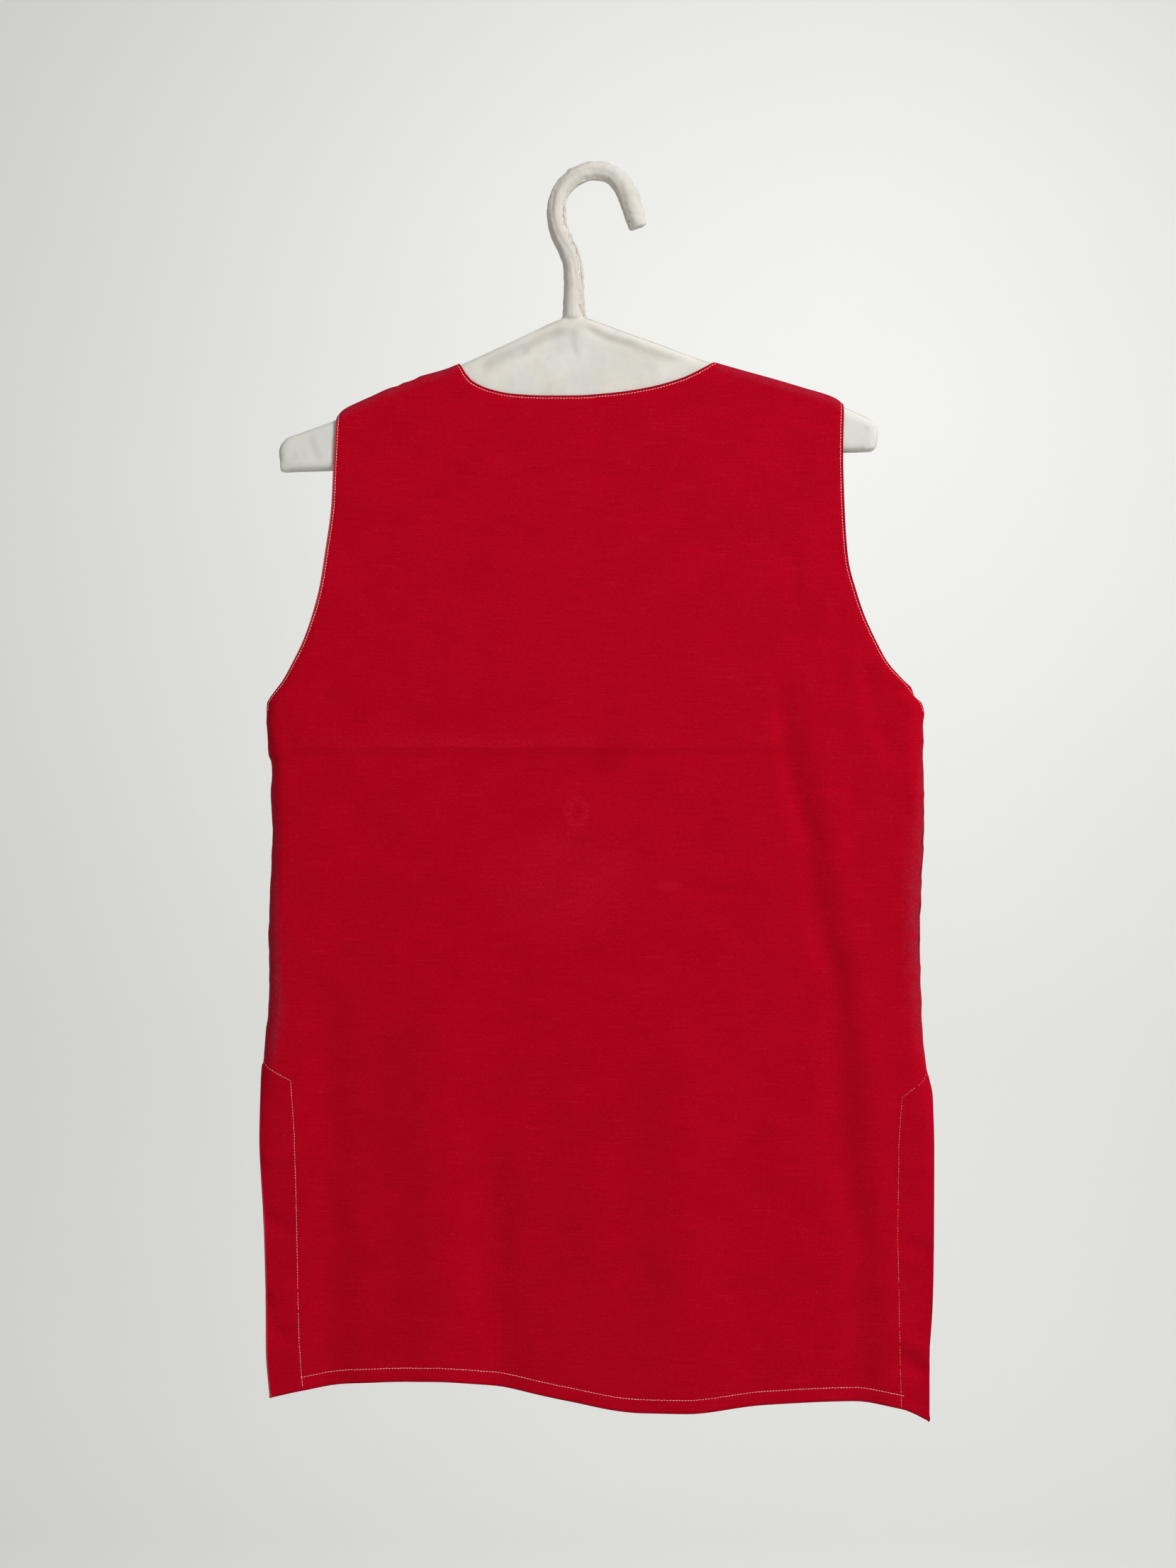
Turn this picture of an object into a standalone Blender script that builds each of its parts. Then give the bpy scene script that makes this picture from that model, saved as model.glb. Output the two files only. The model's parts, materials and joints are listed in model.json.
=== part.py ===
"""A long sleeveless vest of red cloth on a cloth-covered hanger, hung by the hook.

Metres, +Z up. The vest's back faces -Y and its fronts face +Y, so +X is the wearer's right.
The origin is the inside top of the hook, where it rests on whatever holds it up.
"""

import math
from collections import namedtuple

import bpy
import numpy as np

# Cloth
CLOTH = 0.0012  # wall of one layer
TURNED = 0.0020  # wall where the cloth is turned in double
SEAM_GAP = 0.0003  # left free between pieces that are sewn or laid together
HEM_TURN = 0.0100  # height of the turned-up hem
HEM_STEP = 0.0008  # over this height the wall thins from the hem to one layer
SIDE_ROLL = 0.0120  # how far in from the side seam the cloth is still turning round
SHOULDER_ROLL = 0.0070  # how far down the cloth is still turning over the hanger

# Fronts
CENTRE_FRONT = -0.0120  # where the two fronts close
LAP = 0.0150  # each front runs this far past the centre
LAP_RAMP = 0.0180  # width over which the upper front comes down beside the lower one
LAP_FADE_TOP = -0.2000  # above this height the fronts no longer lap
LAP_FADE_LENGTH = 0.0500
NECK_EDGE_TRIES = 8  # a row's height and its place on the neck edge settle in this many turns
V_BOTTOM = -0.4300  # where the sloping neck edges reach the lap
V_BOW = 0.0060  # hollow of the sloping neck edges
ARMHOLE_SCOOP = 0.0080  # the fronts' armholes are cut this much deeper
SLIT_SET_BACK = 0.0020  # the fronts' slit edges lie this much inside the back's
BAND_TIP = 0.30  # a slit band's blunt tip, as a share of the first part of its slanted end
BAND_COLUMNS = (0.0, 0.25, 0.5, 1.0)  # places across a slit band
SLANT_GAP = 0.0013  # a band's slanted end lies this much under the panel's edge

# Button
BUTTON_RADIUS = 0.0100
BUTTON_THICK = 0.0032
BUTTON_RIM = 0.0020
BUTTON_DISH = 0.0008
BUTTON_HEIGHT = -0.4567
THREAD_HOLE_RADIUS = 0.0010
THREAD_HOLE_APART = 0.0034

# Hanger
HANGER_HALF_THICK = 0.0065
HANGER_ROUND = 0.0055
HANGER_UNDER_CLOTH = 0.0024  # the board's top edge lies this far under the shoulder line
HOOK_RADIUS = 0.0065
HOOK_FOOT = -0.0996

# The vest in level sections from the hem up. Each row has the height and place of the left and right
# edge, the width of the slit band there, half the depth of the body, and how far its sides stand open:
# 0 where back and front meet in the side seam, 1 where both lie flat beside each other.
Section = namedtuple("Section", "z_left left band_left z_right right band_right depth open")
SECTIONS = (
    Section(-0.8780, -0.2330, 0.0240, -0.8950, 0.2410, 0.0205, 0.0145, 1.00),
    Section(-0.8440, -0.2357, 0.0240, -0.8530, 0.2410, 0.0215, 0.0142, 1.00),
    Section(-0.8100, -0.2360, 0.0233, -0.8120, 0.2433, 0.0244, 0.0138, 1.00),
    Section(-0.7580, -0.2375, 0.0240, -0.7700, 0.2445, 0.0265, 0.0135, 0.95),
    Section(-0.6900, -0.2413, 0.0260, -0.6950, 0.2453, 0.0263, 0.0132, 0.75),
    Section(-0.6499, -0.2408, 0.0228, -0.6632, 0.2449, 0.0235, 0.0131, 0.30),
    Section(-0.6412, -0.2403, 0.0061, -0.6510, 0.2428, 0.0062, 0.0131, 0.12),
    Section(-0.6366, -0.2393, 0.0000, -0.6433, 0.2410, 0.0000, 0.0131, 0.00),
    Section(-0.6150, -0.2375, 0.0000, -0.6200, 0.2383, 0.0000, 0.0132, 0.00),
    Section(-0.5850, -0.2352, 0.0000, -0.5870, 0.2370, 0.0000, 0.0134, 0.00),
    Section(-0.5450, -0.2357, 0.0000, -0.5500, 0.2362, 0.0000, 0.0136, 0.00),
    Section(-0.5000, -0.2340, 0.0000, -0.5050, 0.2375, 0.0000, 0.0135, 0.00),
    Section(-0.4700, -0.2328, 0.0000, -0.4720, 0.2393, 0.0000, 0.0132, 0.00),
    Section(-0.4494, -0.2342, 0.0000, -0.4494, 0.2392, 0.0000, 0.0130, 0.00),
    Section(-0.4264, -0.2332, 0.0000, -0.4280, 0.2388, 0.0000, 0.0128, 0.00),
    Section(-0.4130, -0.2362, 0.0000, -0.4080, 0.2384, 0.0000, 0.0125, 0.00),
    Section(-0.3866, -0.2372, 0.0000, -0.3866, 0.2393, 0.0000, 0.0120, 0.00),
    Section(-0.3795, -0.2370, 0.0000, -0.3795, 0.2378, 0.0000, 0.0119, 0.06),
    Section(-0.3734, -0.2337, 0.0000, -0.3729, 0.2330, 0.0000, 0.0117, 0.25),
    Section(-0.3632, -0.2255, 0.0000, -0.3625, 0.2240, 0.0000, 0.0115, 0.50),
    Section(-0.3509, -0.2184, 0.0000, -0.3500, 0.2125, 0.0000, 0.0112, 0.70),
    Section(-0.3346, -0.2102, 0.0000, -0.3341, 0.2036, 0.0000, 0.0108, 0.85),
    Section(-0.3140, -0.2028, 0.0000, -0.3150, 0.1948, 0.0000, 0.0103, 0.95),
    Section(-0.2963, -0.1980, 0.0000, -0.2980, 0.1890, 0.0000, 0.0099, 1.00),
    Section(-0.2703, -0.1939, 0.0000, -0.2744, 0.1832, 0.0000, 0.0092, 1.00),
    Section(-0.2350, -0.1893, 0.0000, -0.2400, 0.1808, 0.0000, 0.0085, 1.00),
    Section(-0.2020, -0.1878, 0.0000, -0.1980, 0.1797, 0.0000, 0.0083, 1.00),
    Section(-0.1712, -0.1860, 0.0000, -0.1620, 0.1805, 0.0000, 0.0083, 1.00),
)
SLIT_TOP = 7  # row where the slits end and the side seams start
PIT = 17  # row where the side seams end and the armholes start
TOP_BEND = -0.2600  # above this height the sections start to rise towards neck and shoulders
SHOULDER_DROPS = (0.0070, 0.0035, 0.0015, 0.0004, 0.0)  # rows of the roll, below the shoulder line

# Edges seen from behind the wearer, left to right
EdgePoint = namedtuple("EdgePoint", "x z")
HEM_LINE = (
    EdgePoint(-0.2330, -0.8780),
    EdgePoint(-0.2092, -0.8729),
    EdgePoint(-0.1724, -0.8678),
    EdgePoint(-0.1153, -0.8657),
    EdgePoint(-0.0719, -0.8698),
    EdgePoint(-0.0194, -0.8800),
    EdgePoint(0.0357, -0.8887),
    EdgePoint(0.0658, -0.8887),
    EdgePoint(0.1224, -0.8831),
    EdgePoint(0.1832, -0.8805),
    EdgePoint(0.2204, -0.8856),
    EdgePoint(0.2410, -0.8950),
)
SHOULDER_LINE = (
    EdgePoint(-0.1860, -0.1712),
    EdgePoint(-0.1812, -0.1660),
    EdgePoint(-0.1719, -0.1619),
    EdgePoint(-0.1432, -0.1486),
    EdgePoint(-0.1144, -0.1378),
    EdgePoint(-0.0975, -0.1326),
    EdgePoint(-0.0225, -0.0976),
    EdgePoint(-0.0056, -0.0976),
    EdgePoint(0.0873, -0.1316),
    EdgePoint(0.1074, -0.1373),
    EdgePoint(0.1294, -0.1434),
    EdgePoint(0.1520, -0.1501),
    EdgePoint(0.1741, -0.1573),
    EdgePoint(0.1805, -0.1620),
)
BACK_NECKLINE = (
    EdgePoint(-0.0975, -0.1326),
    EdgePoint(-0.0888, -0.1456),
    EdgePoint(-0.0735, -0.1528),
    EdgePoint(-0.0571, -0.1559),
    EdgePoint(-0.0327, -0.1570),
    EdgePoint(-0.0122, -0.1569),
    EdgePoint(0.0082, -0.1555),
    EdgePoint(0.0219, -0.1540),
    EdgePoint(0.0423, -0.1504),
    EdgePoint(0.0633, -0.1443),
    EdgePoint(0.0765, -0.1382),
    EdgePoint(0.0873, -0.1316),
)
NECK_LEFT = BACK_NECKLINE[0]
NECK_RIGHT = BACK_NECKLINE[-1]

# Folds: a soft trough (depth below zero) or ridge that runs from its top down to its bottom
Fold = namedtuple("Fold", "side top_x top_z bottom_x bottom_z bow width depth")
BACK = -1
FRONT = 1
FOLDS = (
    Fold(BACK, 0.1350, -0.3250, 0.2000, -0.9300, 0.0150, 0.0140, -0.0042),
    Fold(BACK, 0.1650, -0.3600, 0.2300, -0.9000, 0.0120, 0.0160, 0.0022),
    Fold(BACK, -0.1950, -0.5500, -0.1850, -0.9600, 0.0000, 0.0150, -0.0028),
    Fold(BACK, -0.1180, -0.5600, -0.1130, -0.9600, 0.0040, 0.0260, 0.0032),
    Fold(BACK, -0.0780, -0.6700, -0.0620, -0.9600, 0.0000, 0.0160, -0.0030),
    Fold(BACK, 0.0620, -0.5800, 0.0700, -0.9600, -0.0040, 0.0300, 0.0036),
    Fold(BACK, 0.0080, -0.6600, 0.0000, -0.9600, 0.0000, 0.0220, 0.0016),
    Fold(FRONT, -0.1500, -0.3300, -0.1900, -0.9300, -0.0120, 0.0160, -0.0036),
    Fold(FRONT, -0.1000, -0.5200, -0.1150, -0.9600, 0.0050, 0.0260, 0.0030),
    Fold(FRONT, 0.1450, -0.3600, 0.1800, -0.9400, 0.0100, 0.0170, -0.0034),
    Fold(FRONT, 0.0950, -0.5600, 0.1050, -0.9600, 0.0000, 0.0280, 0.0030),
    Fold(FRONT, 0.0350, -0.4900, 0.0500, -0.9600, 0.0040, 0.0200, -0.0020),
)
FOLD_FADE = 0.0900  # a fold grows from nothing over this height

# Hanger board: corners of its two ends, each with its rounding. Its lower edge is straight.
Corner = namedtuple("Corner", "x z radius")
RIGHT_END = (
    Corner(0.1815, -0.1648, 0.0),
    Corner(0.2068, -0.1765, 0.0130),
    Corner(0.2040, -0.1965, 0.0062),
)
LEFT_END = (
    Corner(-0.2262, -0.2117, 0.0062),
    Corner(-0.2295, -0.1895, 0.0120),
    Corner(-0.1880, -0.1748, 0.0),
    Corner(-0.1805, -0.1708, 0.0),
)
CORNER_STEPS = 5

# Middle line of the hook, from its foot over the top to the cut tip, and how thick it is there
HookPoint = namedtuple("HookPoint", "x z thickness")
HOOK = (
    HookPoint(-0.0150, HOOK_FOOT, 1.22),
    HookPoint(-0.0150, -0.0920, 1.14),
    HookPoint(-0.0153, -0.0700, 1.06),
    HookPoint(-0.0174, -0.0556, 1.02),
    HookPoint(-0.0251, -0.0387, 1.00),
    HookPoint(-0.0277, -0.0259, 1.00),
    HookPoint(-0.0261, -0.0130, 1.02),
    HookPoint(-0.0205, -0.0033, 1.05),
    HookPoint(-0.0112, 0.0036, 1.04),
    HookPoint(0.0000, 0.0065, 1.00),
    HookPoint(0.0120, 0.0043, 1.02),
    HookPoint(0.0211, -0.0053, 1.00),
    HookPoint(0.0268, -0.0192, 0.92),
    HookPoint(0.0314, -0.0320, 0.86),
)
HOOK_STEPS = 3

RED = (0.42, 0.0, 0.011, 1.0)
BAND_RED = (0.45, 0.0, 0.018, 1.0)
BUTTON_RED = (0.30, 0.0, 0.010, 1.0)
IVORY = (0.72, 0.70, 0.66, 1.0)

collection = None


def clear_scene():
    for old in list(bpy.data.objects):
        bpy.data.objects.remove(old, do_unlink=True)


def make_material(name, colour, roughness):
    material = bpy.data.materials.new(name)
    material.use_nodes = True
    shader = material.node_tree.nodes["Principled BSDF"]
    shader.inputs["Base Color"].default_value = colour
    shader.inputs["Roughness"].default_value = roughness
    shader.inputs["Metallic"].default_value = 0.0
    return material


def place(name, data, material):
    """Puts a new object with this data and material in the part's collection."""
    data.materials.append(material)
    made = bpy.data.objects.new(name, data)
    collection.objects.link(made)
    return made


def smooth(share):
    """0 below 0, 1 above 1, and a soft step between."""
    held = min(max(share, 0.0), 1.0)
    return held * held * (3.0 - 2.0 * held)


def quarter_round(share):
    """Height of a quarter circle of size 1 at this share of its width."""
    held = min(max(share, 0.0), 1.0)
    return math.sqrt(1.0 - (1.0 - held) ** 2)


def line_height(line, x):
    """Height of an edge line at x."""
    return float(np.interp(x, [point.x for point in line], [point.z for point in line]))


def between(low, high, share):
    """The section that lies at a share of the way from low to high."""
    return Section(*(a + (b - a) * share for a, b in zip(low, high)))


def section_at(z):
    """The section of the vest at this height."""
    for low, high in zip(SECTIONS, SECTIONS[1:]):
        if low.z_left <= z <= high.z_left:
            return between(low, high, (z - low.z_left) / (high.z_left - low.z_left))
    return SECTIONS[-1]


def across(section, x):
    """How far x is from the section's left edge to its right edge, 0 to 1."""
    return (x - section.left) / (section.right - section.left)


def level(section, x):
    """Height of the straight line between the section's two edges, at x."""
    return section.z_left + (section.z_right - section.z_left) * across(section, x)


def relief(side, x, z):
    """How far the folds of one side lift the cloth off its plain form at x, z."""
    total = 0.0
    for fold in FOLDS:
        if fold.side != side or z > fold.top_z:
            continue
        along = (fold.top_z - z) / (fold.top_z - fold.bottom_z)
        middle = fold.top_x + (fold.bottom_x - fold.top_x) * along + fold.bow * math.sin(math.pi * along)
        strength = smooth((fold.top_z - z) / FOLD_FADE)
        total += fold.depth * strength * math.exp(-(((x - middle) / fold.width) ** 2))
    return total


def cloth_depth(side, section, x, z):
    """Distance of the cloth's outer face from the middle plane at x, z."""
    inset = min(x - section.left, section.right - x)
    rolled = quarter_round(inset / SIDE_ROLL)
    share = rolled + (1.0 - rolled) * section.open
    over_hanger = quarter_round((line_height(SHOULDER_LINE, x) - z) / SHOULDER_ROLL)
    away_from_seam = smooth(inset / SIDE_ROLL + section.open)
    plain = section.depth * min(share, over_hanger)
    return max(plain + relief(side, x, z) * away_from_seam, SEAM_GAP / 2)


def height(section, x, top_line):
    """Height of a section at x, bent down to the hem near it and up to the top line above the armholes."""
    plain = level(section, x)
    slit_top = SECTIONS[SLIT_TOP].z_left
    hem_share = smooth((slit_top - plain) / (slit_top - level(SECTIONS[0], x)))
    hem_rise = line_height(HEM_LINE, x) - level(SECTIONS[0], x)
    top_share = max((plain - TOP_BEND) / (level(SECTIONS[-1], x) - TOP_BEND), 0.0)
    top_rise = line_height(top_line, x) - level(SECTIONS[-1], x)
    return plain + hem_rise * hem_share + top_rise * top_share


# A row of a panel: its section, how far it is shifted up from it, and how thick the cloth is there
Row = namedtuple("Row", "section shift wall")


def panel_rows():
    """The rows of every panel, from the hem up: the turned-up hem, the sections, the shoulder roll."""
    rows = [Row(SECTIONS[0], 0.0, TURNED), Row(SECTIONS[0], HEM_TURN, TURNED)]
    rows.append(Row(SECTIONS[0], HEM_TURN + HEM_STEP, CLOTH))
    rows += [Row(section, 0.0, CLOTH) for section in SECTIONS[1:-1]]
    rows += [Row(SECTIONS[-1], -drop, CLOTH) for drop in SHOULDER_DROPS]
    return rows


def cloth_wall(name, side, outer, walls, material):
    """A closed wall: a grid of points on the cloth's outer face, and the same grid moved inwards."""
    outer = np.array(outer)
    walls = np.array(walls)
    if outer[0, 0, 0] > outer[0, -1, 0]:
        outer = outer[:, ::-1]
    along_row = np.gradient(outer, axis=1)
    up_column = np.gradient(outer, axis=0)
    outwards = np.cross(along_row, up_column) * -side
    outwards /= np.linalg.norm(outwards, axis=2, keepdims=True)
    inner = outer - outwards * walls[:, None, None]
    inner[:, :, 1] = side * np.maximum(inner[:, :, 1] * side, SEAM_GAP / 2)
    row_count, column_count = outer.shape[:2]
    points = np.concatenate([outer.reshape(-1, 3), inner.reshape(-1, 3)])
    under = row_count * column_count

    def corner(row, column, layer):
        return layer * under + row * column_count + column

    faces = []
    for row in range(row_count - 1):
        for column in range(column_count - 1):
            for layer in (0, 1):
                square = [
                    corner(row, column, layer),
                    corner(row, column + 1, layer),
                    corner(row + 1, column + 1, layer),
                    corner(row + 1, column, layer),
                ]
                faces.append(square[::-1] if layer else square)
    rim = [(0, column) for column in range(column_count - 1)]
    rim += [(row, column_count - 1) for row in range(row_count - 1)]
    rim += [(row_count - 1, column) for column in range(column_count - 1, 0, -1)]
    rim += [(row, 0) for row in range(row_count - 1, 0, -1)]
    for here, after in zip(rim, rim[1:] + rim[:1]):
        faces.append([corner(*after, 0), corner(*here, 0), corner(*here, 1), corner(*after, 1)])
    if side == FRONT:
        faces = [face[::-1] for face in faces]
    mesh = bpy.data.meshes.new(name)
    mesh.from_pydata(points.tolist(), [], faces)
    mesh.validate()
    mesh.shade_smooth()
    mesh.set_sharp_from_angle(angle=math.radians(40))
    return place(name, mesh, material)


SIDE_INSETS = (0.0, 0.0005, 0.0025, 0.0060, SIDE_ROLL)
WIDEST_COLUMN = 0.0180
NECK_CORNERS = (0.0008, 0.0030)  # the neckline turns over the hanger within this width


def spaced(first, last):
    """Even steps from first to last, no wider than a column may be, without the ends."""
    count = math.ceil(abs(last - first) / WIDEST_COLUMN)
    return [first + (last - first) * step / count for step in range(1, count)]


def past_band(width):
    """A panel starts just past its slit band."""
    return width + SEAM_GAP if width > 0.0 else 0.0


def make_back(material):
    """The back, one piece from side to side, with the neckline between its two shoulders."""
    top_line = [point for point in SHOULDER_LINE if point.x <= NECK_LEFT.x]
    top_line += BACK_NECKLINE[1:-1]
    top_line += [point for point in SHOULDER_LINE if point.x >= NECK_RIGHT.x]
    tip_left = SECTIONS[-1].left
    tip_width = SECTIONS[-1].right - tip_left
    corners = [tip_left + SIDE_ROLL, *[point.x for point in top_line], tip_left + tip_width - SIDE_ROLL]
    corners += [NECK_LEFT.x + step for step in NECK_CORNERS]
    corners += [NECK_RIGHT.x - step for step in NECK_CORNERS]
    corners = sorted(x for x in corners if corners[0] <= x <= tip_left + tip_width - SIDE_ROLL)
    columns = []
    for here, after in zip(corners, corners[1:]):
        columns += [here, *spaced(here, after)]
    shares = [(x - tip_left) / tip_width for x in columns[1:]]
    rows = panel_rows()
    grid = []
    for section, shift, _ in rows:
        start = section.left + past_band(section.band_left)
        end = section.right - past_band(section.band_right)
        places = [start + inset for inset in SIDE_INSETS]
        places += [start + (end - start) * share for share in shares]
        places += [end - inset for inset in reversed(SIDE_INSETS)]
        heights = [height(section, x, top_line) + shift for x in places]
        grid.append([(x, -cloth_depth(BACK, section, x, z), z) for x, z in zip(places, heights)])
    return cloth_wall("back", BACK, grid, [row.wall for row in rows], material)


def scoop(section):
    """How far the fronts' armhole is cut inside the back's at this section."""
    tip, pit = SECTIONS[-1].z_left, SECTIONS[PIT].z_left
    up = (section.z_left - pit) / (tip - pit)
    return ARMHOLE_SCOOP * math.sin(math.pi * up) if 0.0 < up < 1.0 else 0.0


def front_sides(section):
    """A front's section: its slit edges lie a little inside the back's, its armholes are deeper."""
    set_back = SLIT_SET_BACK * section.open if section.z_left < SECTIONS[PIT].z_left else 0.0
    moved = set_back + scoop(section)
    return section._replace(left=section.left + moved, right=section.right - moved)


def neck_edge(hand, z):
    """Where a front's inner edge is at this height: the slope of the V, then the straight lap."""
    neck = NECK_RIGHT if hand > 0 else NECK_LEFT
    lap_edge = CENTRE_FRONT - hand * LAP
    down = min(max((neck.z - z) / (neck.z - V_BOTTOM), 0.0), 1.0)
    return neck.x + (lap_edge - neck.x) * down + hand * V_BOW * math.sin(math.pi * down)


def lap_lift(inset, z):
    """The upper front stands off by one layer where it crosses the lower one."""
    past = (inset - 2 * LAP - SEAM_GAP) / LAP_RAMP
    return (TURNED + SEAM_GAP) * (1.0 - smooth(past)) * smooth((LAP_FADE_TOP - z) / LAP_FADE_LENGTH)


FRONT_COLUMNS = 10  # columns between the side roll and the lap


def make_front(name, hand, material):
    """One front. Hand is 1 for the wearer's right, whose front laps over, and -1 for the left."""
    rows = panel_rows()
    lap_insets = (2 * LAP + SEAM_GAP + LAP_RAMP, 2 * LAP + SEAM_GAP, 0.0100, 0.0)
    grid = []
    for whole, shift, _ in rows:
        section = front_sides(whole)
        band = section.band_right if hand > 0 else section.band_left
        side_edge = section.right if hand > 0 else section.left
        start = side_edge - hand * past_band(band)
        inner = start
        for _ in range(NECK_EDGE_TRIES):
            inner = neck_edge(hand, height(section, inner, SHOULDER_LINE) + shift)
        places = [start - hand * inset for inset in SIDE_INSETS]
        first, last = places[-1], inner + hand * lap_insets[0]
        places += [first + (last - first) * step / FRONT_COLUMNS for step in range(1, FRONT_COLUMNS)]
        places += [inner + hand * inset for inset in lap_insets]
        row = []
        for x in places:
            z = height(section, x, SHOULDER_LINE) + shift
            y = cloth_depth(FRONT, section, x, z)
            if hand > 0:
                y += lap_lift(x - inner, z)
            row.append((x, y, z))
        grid.append(row)
    return cloth_wall(name, FRONT, grid, [row.wall for row in rows], material)


def panel_edge(side, hand, section):
    """Point on a panel's edge beside its slit band, or on its side edge where there is none."""
    edge = section.right if hand > 0 else section.left
    x = edge - hand * past_band(section.band_right if hand > 0 else section.band_left)
    z = height(section, x, SHOULDER_LINE)
    return np.array([x, side * cloth_depth(side, section, x, z), z])


def make_band(name, side, hand, material):
    """A slit band: a doubled strip along the open side edge, with a slanted top end and a blunt tip."""
    sections = [front_sides(section) if side == FRONT else section for section in SECTIONS]
    rows = [(sections[0], 0.0), (sections[0], HEM_TURN + HEM_STEP)]
    rows += [(section, 0.0) for section in sections[1 : SLIT_TOP - 2]]
    rows += [(section, -SLANT_GAP) for section in sections[SLIT_TOP - 2 : SLIT_TOP]]
    grid = []
    for section, shift in rows:
        edge = section.right if hand > 0 else section.left
        width = section.band_right if hand > 0 else section.band_left
        row = []
        for share in BAND_COLUMNS:
            x = edge - hand * width * share
            z = height(section, x, SHOULDER_LINE) + shift
            row.append((x, side * cloth_depth(side, section, x, z), z))
        grid.append(row)
    top = panel_edge(side, hand, sections[SLIT_TOP])
    below = panel_edge(side, hand, sections[SLIT_TOP - 1])
    slant = (below - top) / np.linalg.norm(below - top)
    off = np.cross([0.0, side, 0.0], slant) * SLANT_GAP * -side * hand
    inner = top + (below - top) * BAND_TIP + off
    outer = top + (np.array(grid[-1][0]) - top) * BAND_TIP
    grid.append([tuple(outer + (inner - outer) * share) for share in BAND_COLUMNS])
    return cloth_wall(name, side, grid, [TURNED] * len(grid), material)


def rounded_outline(corners):
    """The corners as points, each rounded by an arc of its own radius."""
    points = []
    for before, here, after in zip(corners[-1:] + corners[:-1], corners, corners[1:] + corners[:1]):
        if here.radius == 0.0:
            points.append((here.x, here.z))
            continue
        into = np.array([here.x - before.x, here.z - before.z])
        out = np.array([after.x - here.x, after.z - here.z])
        into /= np.linalg.norm(into)
        out /= np.linalg.norm(out)
        turn = math.acos(float(np.clip(into @ out, -1.0, 1.0)))
        reach = here.radius * math.tan(turn / 2)
        start = np.array([here.x, here.z]) - into * reach
        side = np.array([into[1], -into[0]])
        side *= math.copysign(1.0, float(side @ out))
        centre = start + side * here.radius
        for step in range(CORNER_STEPS + 1):
            angle = turn * step / CORNER_STEPS
            point = centre - side * here.radius * math.cos(angle) + into * here.radius * math.sin(angle)
            points.append(tuple(point))
    return points


def make_hanger_body(material):
    """The covered board: its top edge lies just under the shoulder line, its lower edge is straight."""
    top = [Corner(point.x, point.z - HANGER_UNDER_CLOTH, 0.0) for point in SHOULDER_LINE[2:-1]]
    corners = top + list(RIGHT_END) + list(LEFT_END)
    curve = bpy.data.curves.new("hanger_body", "CURVE")
    curve.dimensions = "2D"
    curve.fill_mode = "BOTH"
    curve.extrude = HANGER_HALF_THICK - HANGER_ROUND
    curve.bevel_depth = HANGER_ROUND
    curve.bevel_resolution = 2
    curve.offset = -HANGER_ROUND
    outline = rounded_outline(corners)
    spline = curve.splines.new("POLY")
    spline.points.add(len(outline) - 1)
    for point, (x, z) in zip(spline.points, outline):
        point.co = (x, z, 0.0, 1.0)
    spline.use_cyclic_u = True
    made = place("hanger_body", curve, material)
    made.rotation_euler = (math.pi / 2, 0.0, 0.0)
    weld = made.modifiers.new("weld caps", "WELD")
    weld.merge_threshold = 0.00005
    return made


def smooth_path(points, steps):
    """Points on a smooth curve through the given ones, with steps of it between each two."""
    rows = np.array(points)
    ends = np.vstack([2 * rows[0] - rows[1], rows, 2 * rows[-1] - rows[-2]])
    path = []
    for k in range(len(rows) - 1):
        p0, p1, p2, p3 = ends[k : k + 4]
        for step in range(steps):
            t = step / steps
            path.append(
                0.5 * (2 * p1 + (p2 - p0) * t + (2 * p0 - 5 * p1 + 4 * p2 - p3) * t**2
                       + (3 * p1 - p0 - 3 * p2 + p3) * t**3)
            )
    path.append(rows[-1])
    return path


def make_hanger_hook(material):
    """The hook in its cloth sleeve: a thick round rod, wider at its foot and cut off at its tip."""
    curve = bpy.data.curves.new("hanger_hook", "CURVE")
    curve.dimensions = "3D"
    curve.bevel_depth = HOOK_RADIUS
    curve.bevel_resolution = 4
    curve.use_fill_caps = True
    path = smooth_path([tuple(point) for point in HOOK], HOOK_STEPS)
    spline = curve.splines.new("POLY")
    spline.points.add(len(path) - 1)
    for point, (x, z, thickness) in zip(spline.points, path):
        point.co = (x, 0.0, z, 1.0)
        point.radius = thickness
    made = place("hanger_hook", curve, material)
    weld = made.modifiers.new("weld caps", "WELD")
    weld.merge_threshold = 0.00005
    return made


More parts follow.
